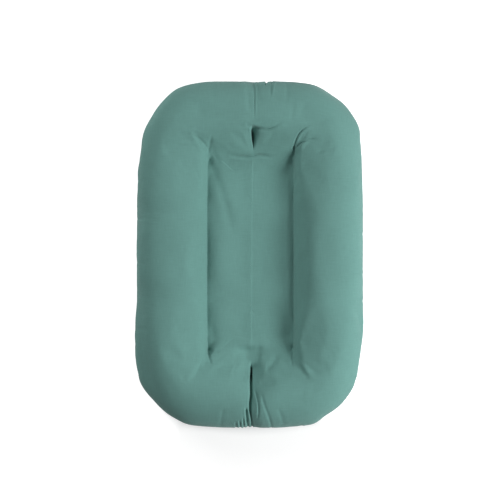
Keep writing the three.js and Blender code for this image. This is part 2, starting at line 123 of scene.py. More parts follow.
class ZipSizes(bpy.types.PropertyGroup):
    """The zip's sizes"""

    chain: length("Chain", "Length of the row of teeth", 280 * MM)
    slot_half: length("Half slot", "Half the width of the slot in the cover's base", 7.2 * MM)
    slot_past: length("Slot past the chain", "At each end", 8 * MM)
    tape_past: length("Tape past the slot", "At each end", 12 * MM)
    tape_width: length("Tape width", "Of each tape", 12.5 * MM)
    tape_thickness: length("Tape thickness", "Of each tape", 0.6 * MM)
    gap: length("Gap", "Between neighbouring pieces", 0.3 * MM)
    cord_near: length("Cord's inner side", "From the middle of the zip", 1.6 * MM)
    cord_far: length("Cord's outer side", "From the middle of the zip", 3.4 * MM)
    cord_thickness: length("Cord thickness", "Of the corded edges", 1.6 * MM)
    pitch: length("Pitch", "From tooth to tooth on one side", 4 * MM)
    tooth_head: length("Tooth head", "Width of a tooth's head", 1.6 * MM)
    tooth_neck: length("Tooth neck", "Width of a tooth's neck", 1 * MM)
    tooth_reach: length("Tooth reach", "How far a tooth reaches past the middle", 1.2 * MM)
    tooth_thickness: length("Tooth thickness", "Of the teeth", 2.4 * MM)
    stop: length("Stop", "Length of a stop", 2.6 * MM)
    standoff: length("Standoff", "From the slider to the top stops", 0.5 * MM)
    wedge_back: length("Wedge back", "From the slider's front end to where its wedge ends", 5.1 * MM)


class LoungerColours(bpy.types.PropertyGroup):
    """Colours of the cloth, the filling and the zip"""

    cover: colour("Cover", "Cotton of the cover", (0.400, 0.575, 0.549))
    casing: colour("Casing", "Cotton of the casing", (0.91, 0.89, 0.84))
    filling: colour("Filling", "Fibre of the filling", (0.96, 0.95, 0.93))
    tape: colour("Tape", "Tapes of the zip", (0.36, 0.54, 0.5))
    teeth: colour("Teeth", "Moulded teeth", (0.33, 0.5, 0.465))
    metal: colour("Metal", "Slider, pull and stops", (0.73, 0.74, 0.74))
    floor: colour("Floor", "The studio floor", (0.83, 0.83, 0.83))


# Soft shapes


def mix(low, high, share):
    return low + (high - low) * share


def smooth(low, high, value):
    share = np.clip((value - low) / (high - low), 0, 1)
    return share * share * (3 - 2 * share)


def bell(distance, reach):
    return np.exp(-((distance / reach) ** 2))


def mirrored(points, side):
    """The points of the right-hand side, on the side that is asked for, or back."""
    made = points.copy()
    made[..., 0] *= SIDES[side]
    return made


def unit(vectors, least=1e-6):
    """The vectors' directions. One shorter than the least comes out short."""
    return vectors / np.maximum(np.linalg.norm(vectors, axis=-1, keepdims=True), least)


def ways(points):
    """Each point's way from its row's start."""
    steps = np.linalg.norm(np.diff(points, axis=1), axis=-1)
    return np.concatenate([np.zeros((len(points), 1)), np.cumsum(steps, axis=1)], axis=1)


def near_outline(points, sizes, start, full):
    """0 within one squarish curve and 1 beyond another, given as shares of the outline's fourth power."""
    squared = np.abs(2 * points[..., 0] / sizes.wide) ** 4 + np.abs(2 * points[..., 1] / sizes.long) ** 4
    return smooth(start, full, squared)


def plan_curve(width, long, head, foot):
    """Below 1 inside a superellipse in plan, above 1 outside it."""

    def place(x, y):
        power = np.where(y > 0, head, foot)
        return np.abs(2 * x / width) ** power + np.abs(2 * y / long) ** power

    return place


def reach(curve, start, direction):
    """Distance from each row's pole to a plan curve, by halving."""
    near, far = np.zeros(len(start)), np.full(len(start), 1.0)
    for _ in range(40):
        middle = (near + far) / 2
        inside = curve(direction[:, 0] * middle, start + direction[:, 1] * middle) < 1
        near, far = np.where(inside, middle, near), np.where(inside, far, middle)
    return near


# Each end's seam, the head's first: the groove's depth and reach, the tuft's depth and its way from the end
END_SEAMS = {
    1: {"groove": 3.5 * MM, "groove_reach": 14 * MM, "tuft": 30 * MM, "from_end": 119 * MM},
    -1: {"groove": 6 * MM, "groove_reach": 13 * MM, "tuft": 27 * MM, "from_end": 110 * MM},
}

# How much of the rise of the cloth beside it an end's seam takes part in
SEAM_FREE = 0.9

# How square the plan curves are: exponents of superellipses, at the head and at the foot
OUTLINE_POWERS, CROWN_POWERS, CREASE_POWERS = (4.1, 3.75), (5.5, 5), (10, 10)

# Steps between the rows that turn round a corner, each up to an angle from the seam, in degrees: small ones
# by the seam and round the dimple, wide ones elsewhere. Then the step along the sides.
TURNING_STEPS = [(6, 0.42), (15, 0.9), (27, 1.65), (40, 0.9), (90, 1.65)]
SIDE_STEP = 7.2 * MM

# Rows by their turn from straight across, in degrees: where those that run up a ramp begin, and from where
# they are all ramp, then the same for the blend of the rim's inner slope into the ramp
RAMP_DEGREES, BLEND_DEGREES = (52, 68), (52.6, 55.8)

# The middle and the spread of the dimple in the crease, and of what is evened out beside it
DIMPLE_DEGREES, EVENED_DEGREES = (53.8, 2.2), (55.5, 4.5)

# How low the crease lies round the rim's section, in degrees, and how much lower in a dimple
VALLEY_ANGLE, DIMPLE_DROP = -1, 4

# How much higher the cover's crease lies than the pad's own, in degrees: on the left, then on the right
VALLEY_LIFTS = {-1: 7.5, 1: 11}


class Rows:
    """Rows across the right half of the pad, from the head's centre seam round to the foot's."""

    def __init__(self, sizes):
        ramp_start = (sizes.long - sizes.rim_width) / 2 - sizes.ramp_reach
        pole = ramp_start - sizes.pole_inset
        starts = [0] + [limit for limit, _ in TURNING_STEPS]
        steps = [np.arange(start, limit, step) for start, (limit, step) in zip(starts, TURNING_STEPS)]
        turns = 90 - np.concatenate([*steps, [90]])
        sides = np.linspace(pole, -pole, int(2 * pole / SIDE_STEP) + 1)[1:-1]
        start = np.concatenate([np.full(len(turns), pole), sides, np.full(len(turns), -pole)])
        degrees = np.concatenate([turns, np.zeros(len(sides)), turns[::-1]])
        end = np.where(np.arange(len(start)) < len(turns) + len(sides) / 2, 1, -1)
        across = np.cos(np.radians(degrees)) * (degrees < 90)
        direction = np.stack([across, end * np.sin(np.radians(degrees))], axis=1)
        outline = plan_curve(sizes.wide, sizes.long, *OUTLINE_POWERS)
        crown = plan_curve(sizes.wide - sizes.rim_width, sizes.long - sizes.rim_width, *CROWN_POWERS)
        crease = plan_curve(sizes.wide - 2 * sizes.rim_width, sizes.crease_length, *CREASE_POWERS)
        to_crown = reach(crown, start, direction)
        to_ramp = sizes.pole_inset / np.sin(np.radians(np.maximum(degrees, RAMP_DEGREES[0])))
        ramp = smooth(*RAMP_DEGREES, degrees)
        in_reach = to_crown - mix(reach(crease, start, direction), to_ramp, ramp)
        dimple = bell(degrees - DIMPLE_DEGREES[0], DIMPLE_DEGREES[1])
        ramp_top = pole + direction[:, 1] * end * to_crown

        def column(values):
            return np.asarray(values, float)[:, None]

        self.sizes, self.pole = sizes, pole
        self.ramp_start = ramp_start
        self.start, self.end = column(start), column(end)
        self.across, self.along = column(direction[:, 0]), column(direction[:, 1])
        self.turned = column(end * degrees / 90)
        self.ramp, self.to_crown, self.in_reach = column(ramp), column(to_crown), column(in_reach)
        self.out_reach = column(reach(outline, start, direction) - to_crown)
        self.valley = column(VALLEY_ANGLE - DIMPLE_DROP * dimple)
        self.blend = column(smooth(*BLEND_DEGREES, degrees))
        self.evened = column(bell(degrees - EVENED_DEGREES[0], EVENED_DEGREES[1]))
        self.ramp_foot = ramp_start - 10 * MM
        self.ramp_end = column(np.maximum(ramp_top, ramp_start + 0.86 * sizes.ramp_reach))
        self.bulge = sizes.rim_height - sizes.girth_height
        self.drop = sizes.girth_height + sizes.floor_flattening

    def place(self, out, z):
        """A point by its distance out from the crown line."""
        distance, z = np.broadcast_arrays(self.to_crown + out, np.maximum(0, z))
        return np.stack([self.across * distance, self.start + self.along * distance, z], axis=-1)

    def tube(self, angle):
        """The rim's round section at an angle in degrees: 0 faces the sling, 90 is the crown."""
        turn = np.radians(angle + 0 * self.start)
        out, up = -np.cos(turn), np.sin(turn)
        z = self.sizes.girth_height + up * np.where(up > 0, self.bulge, self.drop)
        return self.place(out * np.where(out < 0, self.in_reach, self.out_reach), z)

    def rise(self, y):
        """How high a ramp stands over the sling at a way along the pad."""
        share = (np.abs(y) - self.ramp_foot) / (self.ramp_end - self.ramp_foot)
        return (self.sizes.rim_height - self.sizes.sling_height) * smooth(0, 1, share)

    def inner_slope(self, share, sign):
        """From the valley or the foot of a ramp up to the crown."""
        tube = self.tube(mix(self.valley + VALLEY_LIFTS[sign], 90, share))
        ramp = self.place(-self.in_reach * (1 - share), 0)
        ramp[..., 2] = self.sizes.sling_height + self.rise(ramp[..., 1])
        return mix(tube, ramp, self.blend[..., None])

    def seam_start(self, end_y, height):
        """Where a row starts on the centre line."""
        turned = mix(self.start, end_y * np.sign(self.turned), np.abs(self.turned))
        y = np.where(self.turned == 0, self.start, turned)
        return np.stack([np.zeros_like(y), y, np.full_like(y, height)], axis=-1)

    def sling(self, share, edge, height, sign=1, rising=0):
        """From the centre line to the slope's foot. It rises late on the right, and early on the left."""
        middle = self.seam_start(self.ramp_start * 0.74, height)
        points = mix(middle, edge[:, :1], share[None, :, None])
        beside = self.sizes.wide / 2 - self.sizes.rim_width
        out = points[..., 0] / beside
        level = out**3 if sign > 0 else smooth(0.15, 0.74, out) - 0.55 * smooth(0.74, 1.02, out)
        level = level * (1 - smooth(90 * MM, 215 * MM, np.abs(points[..., 1])))
        lifted = height + self.sizes.sling_sag * level + rising * self.rise(points[..., 1])
        way = np.linalg.norm(edge[:, :1, :2] - middle[..., :2], axis=-1) * (1 - share[None, :])
        points[..., 2] = mix(lifted, edge[:, :1, 2], bell(way, 4 * MM) * (1 - rising * self.blend))
        return points


def seam_groove(rows, points, groove):
    """Draws the skin in along the centre seam, towards the middle of the rim."""
    head, foot = END_SEAMS[1], END_SEAMS[-1]
    depth, width = [np.where(rows.end > 0, head[key], foot[key]) for key in ("groove", "groove_reach")]
    inwards = unit(rows.place(0, rows.sizes.girth_height) - points)
    return points + inwards * (depth * bell(points[..., 0], width) * groove)[..., None]


# Each end's slit: its half widths at the sling's end and at the crown's and the broad hollow's reach, in mm,
# on the left of the seam and on the right. Then where the slit starts, is whole, fades and is gone, in
# SLIT_STEPs from the tuft, and the hollow's share of the tuft's depth.
SLITS = {
    1: {-1: (0.8, 1.6, 14), 1: (1.2, 7.5, 20), "window": (-2.4, 0.8, 1.4, 1.9), "broad": 0.2},
    -1: {-1: (0.7, 1.0, 24), 1: (0.8, 1.1, 32), "window": (-1.7, 0.1, 0.1, 1.1), "broad": 0.14},
}
SLIT_STEP = 11 * MM

# How square a slit's section is on the left and on the right of the seam, as an exponent
SLIT_POWERS = {-1: 1.7, 1: 1.3}


def tuft_depth(sizes, x, y, sign):
    """How far the ties pull one side down: a broad hollow, and a slit that widens towards the crown."""
    total = np.zeros(np.shape(x))
    for end, seam in END_SEAMS.items():
        low, high, broad_reach = SLITS[end][sign]
        middle = end * (sizes.long / 2 - seam["from_end"])
        along = (y - middle) * end / SLIT_STEP
        from_sling, full, fading, gone = SLITS[end]["window"]
        window = smooth(from_sling, full, along) * (1 - smooth(fading, gone, along))
        wide = mix(low, high, smooth(-2, 1.7, along)) * MM
        slit = np.exp(-((np.abs(x) / wide) ** SLIT_POWERS[sign])) * window
        broad = bell(x, broad_reach * MM) * bell(y - middle, 24 * MM)
        total = total + seam["tuft"] * mix(slit, broad, SLITS[end]["broad"])
    return total


# Where the columns of points lie: shares of the sling, shares of the slope, and degrees round the rim
SLING_SHARES = np.array(
    [0, 0.02, 0.055, 0.11, 0.19, 0.28, 0.37, 0.46, 0.55, 0.64, 0.73, 0.81, 0.875, 0.93, 0.97]
)
SLOPE_SHARES = np.concatenate([[0, 0.012, 0.03, 0.06, 0.1], np.linspace(0.145, 1, 21)])
OUTER_ANGLES = np.concatenate([np.linspace(90, 180, 19)[1:], [184, 187.5, 190]])


def top_points(rows, sign):
    """The cover's upper face before it settles, in rows from the centre seam to the outline's seam."""
    slope = rows.inner_slope(SLOPE_SHARES[None, :], sign)
    slope = seam_groove(rows, slope, 0.35 * smooth(0.5, 1, SLOPE_SHARES[None, :]))
    outer = rows.tube(OUTER_ANGLES[None, :])
    falling = mix(0.35, 1, smooth(90, 140, OUTER_ANGLES)) * (1 - smooth(160, 186, OUTER_ANGLES))
    outer = seam_groove(rows, outer, falling[None, :])
    sling = rows.sling(SLING_SHARES, slope, rows.sizes.sling_height, sign, 1)
    points = np.concatenate([sling, slope, outer], axis=1)
    points[..., 2] -= tuft_depth(rows.sizes, points[..., 0], points[..., 1], sign)
    plan = points[..., :2].reshape(-1, 2) * [sign, 1]
    for path, depth, width, both in HOLLOWS:
        lift = fold_lift(plan, smooth_line(path), depth * MM, width * MM, 0).reshape(points.shape[:2])
        points[..., 2] += lift * (1 if both or sign > 0 else bell(points[..., 0], 2.5 * MM))
    return points


def flat_angle(sizes):
    """How far round the rim's section the floor flattens it, in degrees below level."""
    return math.degrees(math.asin(sizes.girth_height / (sizes.girth_height + sizes.floor_flattening)))


def under_rim(rows, side_steps=16):
    """Under the rim: across its flat, then up to the seam round the outline."""
    flat = flat_angle(rows.sizes)
    angles = [np.linspace(-flat, flat - 180, 8)[1:], np.linspace(flat - 180, -170, side_steps)[1:]]
    return rows.tube(np.concatenate(angles)[None, :])


def cover_base_points(rows):
    """The cover's underside: from the centre line to the rim's flat, then up to the outline's seam."""
    sizes = rows.sizes
    flat = math.radians(flat_angle(sizes))
    contact = rows.tube(-np.degrees(flat) + np.zeros((1, 1)))
    contact_end = (sizes.long - sizes.rim_width) / 2 - sizes.ramp_reach * math.cos(flat)
    middle = rows.seam_start(contact_end * 0.8, sizes.base_lift)
    share = np.linspace(0, 1, 18)
    rise = mix(middle, contact, share[None, :, None])
    rise[..., 2] = sizes.base_lift * (1 - smooth(0.3, 1, share[None, :]))
    return np.concatenate([rise, under_rim(rows)], axis=1)


def pad_base_points(rows, wall_steps=8):
    """The stuffed pad's underside: below the sling, down the rim's inner wall and under the rim."""
    sizes = rows.sizes
    low = sizes.sling_height - sizes.sling_thickness
    below_valley = rows.valley - np.degrees(sizes.valley_thickness / rows.drop)
    below_ramp = math.degrees(math.asin((low - sizes.girth_height) / rows.drop))
    start = mix(below_valley, below_ramp, rows.ramp)
    wall = rows.tube(mix(start, -flat_angle(sizes), np.linspace(0, 1, wall_steps)[None, :]))
    return np.concatenate([rows.sling(SLING_SHARES, wall, low), wall, under_rim(rows)], axis=1)


def cloth_places(rows, points):
    """Each point's place on the flat cloth: its row's start on the seam, and the way along the row."""
    direction = np.concatenate([rows.across, rows.along], axis=1)[:, None, :]
    return points[:, :1, :2] + direction * ways(points)[..., None]


def inward_offset(points, depth, flip):
    """The points of a skin, moved inwards by a depth."""
    along = np.gradient(points, axis=0)
    across = np.gradient(points, axis=1)
    normal = np.cross(across, along)
    normal[0, :, 0] = normal[-1, :, 0] = normal[:, 0, 0] = 0
    size = np.linalg.norm(normal, axis=-1, keepdims=True)
    normal = np.where(size > 1e-12, normal / np.maximum(size, 1e-12), [0, 0, -1.0])
    return points + normal * depth * (-1 if flip else 1)


# Broad hollows beside the foot's slit: places in the photograph's pixels, depth and width in mm, and whether
# a hollow lies on both sides of the seam or on its right only
HOLLOWS = [
    ([(246, 343), (246, 355), (247, 366), (249, 380)], 8.0, 22.0, True),
    ([(250, 343), (251, 358), (252, 376), (254, 402)], 8.5, 44.0, True),
    ([(247, 360), (247, 374), (248, 392), (251, 416)], 11.0, 26.0, False),
]

# Folds that show in the photograph: places in its pixels, then depth, width and a ridge beside it, in mm.
# A positive ridge stands on the right of the way that the line goes.
FOLDS = [
    # Head: gathers beside the seam, and what the tuft and its slit pull
    ([(254.6, 80), (254.6, 92), (254.3, 108), (254.1, 124)], 0.9, 1.5, -0.5),
    ([(258, 80), (258.3, 88), (257.6, 97)], 0.8, 1.6, 0.4),
    ([(266.6, 78), (266.2, 84), (264.6, 89)], 2.6, 2.0, 0.6),
    ([(272.4, 80), (271.6, 90), (270, 101)], 1.4, 1.5, -0.9),
    ([(286, 82), (286.4, 96), (285, 112)], 0.9, 4.0, 0.0),
    ([(291.5, 98), (292, 112), (290, 128)], 0.8, 4.5, 0.0),
    ([(247, 86), (248.5, 104), (249, 118)], 0.8, 5.0, 0.0),
    ([(212, 84), (214, 98), (215, 112)], 0.7, 5.0, 0.0),
    ([(249, 129.4), (254, 130), (260, 131.2), (266, 131.8), (274, 129.6), (281.5, 125.2)], 3.6, 2.3, -0.8),
    ([(246, 127), (251, 129.4)], 1.0, 2.4, 0.0),
    ([(241, 133.2), (250, 133.4)], 0.7, 2.6, 0.0),
    ([(226, 156.4), (240, 157.6), (251, 157.2), (257, 156.2), (265, 156.8), (276, 158.4)], 3.4, 2.6, 0.9),
    ([(225, 146), (236, 150), (246, 151)], 0.6, 4.0, 0.0),
    # Head: the left dimple's folds, then the right one's
    ([(208.8, 156), (209.6, 150), (211.4, 143), (213.6, 136)], 1.7, 2.2, 0.0),
    ([(208, 150), (203, 143), (195, 138.5), (184, 137)], 0.6, 2.4, 0.3),
    ([(208.5, 153), (200, 150), (190, 148), (176, 148.5)], 0.7, 2.6, 0.3),
    ([(209, 140), (212, 150), (216, 160), (221, 170)], 1.6, 8.0, 0.0),
    ([(293.4, 156), (293.8, 147), (296.5, 139), (301.5, 132.5), (312, 126)], 2.4, 1.8, 0.9),
    ([(293.8, 152), (298.5, 146.5), (305.5, 142.2), (314, 140.4), (321, 137.6)], 2.1, 1.7, 0.9),
    ([(293.2, 147), (293.0, 153), (292.8, 160)], 4.0, 2.2, 0.0),
    ([(312, 155), (322, 152.6), (331, 149.8), (340, 146)], 0.9, 2.8, 0.5),
    ([(295, 161.8), (309, 162.3), (324, 161.6)], 0.5, 3.0, 0.0),
    ([(298, 181.5), (322, 182.6), (347, 180.5)], 0.4, 3.6, 0.0),
    # Rims: small creases that run in from the outline
    ([(134, 218.4), (144, 219.4), (153, 220), (163, 221.6)], 1.5, 2.2, 0.8),
    ([(366, 233), (358, 236), (350, 239.5)], 1.2, 2.2, 0.6),
    ([(366, 243.5), (356, 246.2), (343, 247.5)], 0.9, 2.4, 0.4),
    ([(366, 274), (360, 275.5), (352, 276)], 0.8, 2.4, 0.4),
    ([(366, 300), (359, 302), (350, 305)], 0.8, 2.8, 0.4),
    ([(134, 180), (143, 182), (152, 181)], 0.6, 3.0, 0.0),
    ([(134, 262), (142, 262.6), (150, 264)], 0.7, 3.0, 0.0),
    ([(134, 330), (143, 328), (152, 328.5)], 0.7, 3.4, 0.0),
    ([(364, 178), (352, 176.5), (343, 178)], 0.6, 3.0, 0.0),
    # Sling: a slack fold from the head's left dimple, and its mate on the right
    ([(208, 154), (215, 174), (223, 196), (229, 218), (233, 240)], 2.2, 8.5, 0.0),
    (
        [(291, 160), (289, 180), (286, 215), (286, 262), (288.5, 300), (290.5, 330), (291, 350)],
        -1.6, 7.0, 0.0,
    ),
    # Thin strips of cloth that stand up beside the right crease
    ([(294.8, 165), (294.6, 200), (294.4, 250), (295.4, 300), (295.6, 345)], -1.0, 1.5, 0.0),
    # Foot: the tuft's seam and gathers
    (
        [(251.4, 366), (251.1, 378), (251.2, 391), (250.2, 401), (250.6, 411), (252, 424), (252.6, 445)],
        6.0, 1.5, 0.0,
    ),
    ([(246.2, 404), (246.7, 411), (247.4, 419), (248.2, 432)], 5.0, 2.2, 1.2),
    ([(243.2, 415), (243.8, 422), (244.4, 431)], 2.0, 1.6, 0.8),
    ([(239.4, 417), (240, 424), (240.4, 431)], 1.6, 1.6, 0.8),
    ([(235.4, 419), (236, 425), (236, 431)], 1.2, 1.6, 0.5),
    ([(254.4, 386), (257.4, 396), (258.6, 406), (257.6, 418)], 2.4, 1.8, 0.4),
    ([(260.6, 388), (263.4, 400), (267.4, 411), (270.5, 422), (271, 432)], 1.4, 2.6, 0.2),
    ([(277, 404), (281, 414), (284, 427)], 0.8, 4.0, 0.0),
    ([(300.2, 421), (301, 426), (301.4, 431)], 1.3, 2.2, -0.8),
    ([(224, 404), (222, 415), (220, 428)], 0.7, 4.0, 0.0),
    # Foot: soft hollows to the right of the tuft
    ([(253, 372), (256, 362), (258, 350), (259, 340)], 1.8, 8.0, 0.0),
    ([(264, 372), (272, 362), (279, 352)], 1.6, 6.0, 0.0),
    ([(246, 376), (238, 378), (229, 378)], 0.8, 5.0, 0.0),
    # Foot: the dimples' folds
    ([(208.2, 346), (208.8, 352), (210.2, 358), (212, 364)], 2.6, 2.6, 0.0),
    ([(208.5, 350.4), (214, 350.2), (221, 350.6)], 1.2, 3.4, 0.0),
    ([(212, 324), (214, 338), (213, 350)], 1.4, 7.0, 0.0),
    ([(292.6, 342), (292.3, 350), (291.6, 358), (291, 366)], 2.2, 2.0, 0.0),
    ([(294, 352), (304, 362), (312, 368), (320, 371)], 1.0, 6.0, 0.0),
    ([(206, 356), (199, 366), (189, 372)], 0.6, 5.0, 0.0),
]


def smooth_line(points, count=28):
    """Points along a Catmull-Rom curve through a few places, in metres."""
    places = np.array([((x - MIDDLE[0]) * PIXEL, (MIDDLE[1] - y) * PIXEL) for x, y in points])
    places = np.vstack([2 * places[0] - places[1], places, 2 * places[-1] - places[-2]])
    made = []
    for t in np.linspace(0, len(places) - 3 - 1e-9, count):
        i, u = int(t), t - int(t)
        a, b, c, d = places[i : i + 4]
        square, cube = 2 * a - 5 * b + 4 * c - d, 3 * b - a - 3 * c + d
        made.append(0.5 * (2 * b + (c - a) * u + square * u**2 + cube * u**3))
    return np.array(made)


def fold_lift(plan, line, depth, width, ridge):
    """How far a fold lifts each place: down along its line, up beside it, fading at both ends."""
    first, step = line[:-1], np.diff(line, axis=0)
    size = np.maximum((step**2).sum(1), 1e-12)
    lift = np.zeros(len(plan))
    margin = 4 * width
    near = np.all((plan > line.min(0) - margin) & (plan < line.max(0) + margin), axis=1)
    local = plan[near]
    if not len(local):
        return lift
    offset = local[:, None, :] - first[None]
    share = np.clip((offset * step).sum(-1) / size, 0, 1)
    away = offset - share[..., None] * step
    distance = np.linalg.norm(away, axis=-1)
    nearest = distance.argmin(1)
    pick = np.arange(len(local))
    along = (nearest + share[pick, nearest]) / len(step)
    side = step[nearest, 0] * away[pick, nearest, 1] - step[nearest, 1] * away[pick, nearest, 0]
    signed = distance[pick, nearest] * -np.sign(side)
    fade = smooth(0, 0.22, along) * (1 - smooth(0.7, 1, along))
    beside = bell(signed - np.sign(ridge) * 1.9 * width, 1.2 * width)
    lift[near] = (abs(ridge) * beside - depth * bell(signed, width)) * fade
    return lift


# Mesh helpers


def link(data, name):
    """An object of a mesh, a lamp or a camera, in the scene."""
    made = bpy.data.objects.new(name, data)
    bpy.context.scene.collection.objects.link(made)
    return made


def finish_bmesh(bm, name):
    """The object of a finished bmesh."""
    mesh = bpy.data.meshes.new(name)
    bm.to_mesh(mesh)
    bm.free()
    return link(mesh, name)


def grid(name, points, places=None, values=None):
    """A sheet of quads through rows of points, with its places on the flat cloth as its UV map."""
    rows, columns = points.shape[:2]
    bm = bmesh.new()
    bmesh.ops.create_grid(bm, x_segments=columns - 1, y_segments=rows - 1, size=1)
    made = finish_bmesh(bm, name)
    mesh = made.data
    mesh.vertices.foreach_set("co", points.reshape(-1).astype(np.float32))
    if places is not None:
        corners = np.zeros(len(mesh.loops), np.int32)
        mesh.loops.foreach_get("vertex_index", corners)
        layer = mesh.uv_layers.new(name="cloth")
        layer.data.foreach_set("uv", places.reshape(-1, 2)[corners].astype(np.float32).reshape(-1))
    for key, value in (values or {}).items():
        attribute = mesh.attributes.new(key, "FLOAT", "POINT")
        attribute.data.foreach_set("value", value.reshape(-1).astype(np.float32))
    mesh.update()
    return made


def read(items, key, size=3):
    """A value of every vertex or face as rows of a size."""
    values = np.zeros(len(items) * size, np.float32)
    items.foreach_get(key, values)
    return values.reshape(-1, size).astype(float)


def kept_value(made, key):
    """A value kept on the points, which is then no longer needed."""
    attribute = made.data.attributes[key]
    values = read(attribute.data, "value", 1)[:, 0]
    made.data.attributes.remove(attribute)
    return values


def face_outwards(made, upwards):
    """Turns a sheet's faces so that most of them look up or down."""
    faces = made.data.polygons
    if ((read(faces, "normal")[:, 2] * read(faces, "area", 1)[:, 0]).sum() > 0) != upwards:
        made.data.flip_normals()


def coordinates(made):
    return read(made.data.vertices, "co")


def move_to(made, points):
    made.data.vertices.foreach_set("co", points.reshape(-1).astype(np.float32))
    made.data.update()


def bake_modifiers(made):
    """Applies every modifier to the mesh."""
    bpy.context.view_layer.update()
    depsgraph = bpy.context.evaluated_depsgraph_get()
    baked = bpy.data.meshes.new_from_object(made.evaluated_get(depsgraph))
    made.modifiers.clear()
    old, made.data = made.data, baked
    baked.name = made.name
    bpy.data.meshes.remove(old)


def refine(made):
    """One level of subdivision, applied."""
    modifier = made.modifiers.new("Fine", "SUBSURF")
    modifier.levels = modifier.render_levels = 1
    modifier.boundary_smooth = "PRESERVE_CORNERS"
    bake_modifiers(made)


def thicken(made, thickness, offset=-1):
    """Gives a sheet its thickness, applied: inwards, or to both sides with no offset."""
    modifier = made.modifiers.new("Cloth", "SOLIDIFY")
    modifier.thickness, modifier.offset = thickness, offset
    bake_modifiers(made)


def shade_smooth(made, crisp=60):
    """Smooth shading, but for edges that turn by more than an angle in degrees."""
    made.data.polygons.foreach_set("use_smooth", np.ones(len(made.data.polygons), bool))
    made.data.set_sharp_from_angle(angle=math.radians(crisp))


# The first and the last frame of the settling
SETTLING_FRAMES = (1, 20)


def settle(made, pinned, puffed, sizes):
    """Lets the cloth settle: pressure from inside and a little spare cloth, held at its seams."""
    groups = {"held": pinned, "puffed": puffed}
    for name, weights in groups.items():
        group = made.vertex_groups.new(name=name)
        for level in np.unique(np.round(weights, 2)):
            if level > 0:
                chosen = np.nonzero(np.round(weights, 2) == level)[0]
                group.add([int(i) for i in chosen], float(level), "REPLACE")
    before = coordinates(made)
    modifier = made.modifiers.new("Settle", "CLOTH")
    cloth, cache = modifier.settings, modifier.point_cache
    cloth.quality, cloth.mass = 6, 0.25
    cloth.tension_stiffness = cloth.compression_stiffness = 40
    cloth.shear_stiffness, cloth.bending_stiffness = 13, 0.4
    cloth.vertex_group_mass, cloth.vertex_group_pressure = "held", "puffed"
    cloth.use_pressure, cloth.uniform_pressure_force = True, sizes.puff
    cloth.shrink_min = -sizes.slack
    cloth.effector_weights.gravity = 0
    first, last = cache.frame_start, cache.frame_end = SETTLING_FRAMES
    scene = bpy.context.scene
    for step in range(first, last + 1):
        scene.frame_set(step)
    bake_modifiers(made)
    scene.frame_set(first)
    moved = coordinates(made) - before
    far = np.linalg.norm(moved, axis=1, keepdims=True)
    moved *= np.minimum(1, sizes.settling * np.tanh(far / sizes.settling) / np.maximum(far, 1e-9))
    move_to(made, before + moved)
    for group in list(made.vertex_groups):
        made.vertex_groups.remove(group)
    print(f"{made.name} by {far.max() / MM:.2f} mm at most, by {far.mean() / MM:.2f} mm on average")


# The centre seam's line: height in the picture, and how far it lies to the right of the middle, in pixels
SEAM_LINE = [
    (76, 4.3), (105, 4.2), (122, 4.0), (129, 2.0), (140, 2.5), (151, 3.5), (159, 2.2), (178, 1.6),
    (250, 0.8), (340, 0.8), (372, 1.2), (391, 1.0), (402, 0.2), (412, 0.7), (422, 1.8), (436, 2.0),
]


def seam_shift(y, top):
    """How far the centre seam lies to the right of the middle. Underneath, it is straight along the zip."""
    places = smooth_line([(MIDDLE[0] + shift, height) for height, shift in SEAM_LINE], 120)[::-1]
    shift = np.interp(y, places[:, 1], places[:, 0])
    return shift if top else shift * smooth(185 * MM, 320 * MM, np.abs(y))


def wander(points, top):
    """Moves the middle of a skin sideways, to the centre seam's own line."""
    x, y = points[..., 0], points[..., 1]
    moved = points.copy()
    moved[..., 0] += seam_shift(y, top) * bell(x, 70 * MM)
    return moved


def unevenness(points, scale, seed):
    """Gentle lumps of a stuffed piece, the same each run."""
    offset = Vector((seed * 3.1, seed * 1.7, seed * 0.9))
    return np.array([noise.noise(Vector(p) / scale + offset) for p in points])


# Where the outline departs from an even curve: place in pixels, push to the right and up in mm, spread
OUTLINE_PUSHES = [
    (144, 380, -12.0, -3.0, 0.045),
    (137, 350, -7.0, 0.0, 0.05),
    (188, 424, -1.5, -2.5, 0.022),
    (314, 426, 1.5, -3.0, 0.02),
    (166, 412, -1.0, -1.0, 0.03),
    (153, 114, 5.0, -3.0, 0.035),
    (337, 86, -4.0, -3.5, 0.03),
    (160, 92, 4.0, -3.0, 0.03),
    (359, 127, 7.0, 0.0, 0.04),
    (358, 385, 5.0, 0.0, 0.035),
    (330, 420, -3.5, 3.0, 0.026),
]


def shape_outline(points, sizes):
    """The outline's own small departures from an even curve, strongest at the girth."""
    moved = points.copy()
    out = near_outline(points, sizes, 0.72, 1.0)
    for at_x, at_y, push_x, push_y, spread in OUTLINE_PUSHES:
        from_x = points[..., 0] - (at_x - MIDDLE[0]) * PIXEL
        from_y = points[..., 1] - (MIDDLE[1] - at_y) * PIXEL
        weight = np.exp(-(from_x**2 + from_y**2) / spread**2) * out
        moved[..., 0] += push_x * MM * weight
        moved[..., 1] += push_y * MM * weight
    return moved


def eased(points, weight, passes, axes=(0, 1)):
    """Evens out a grid's bends where a weight says so, across its rows and along them."""
    for _ in range(passes):
        for axis in axes:
            p, w = np.moveaxis(points, axis, 0), np.moveaxis(weight, axis, 0)
            before = np.linalg.norm(p[1:-1] - p[:-2], axis=-1)
            after = np.linalg.norm(p[2:] - p[1:-1], axis=-1)
            level = mix(p[:-2], p[2:], (before / np.maximum(before + after, 1e-9))[..., None])
            p[1:-1] += (level - p[1:-1]) * (0.5 * w[1:-1])[..., None]


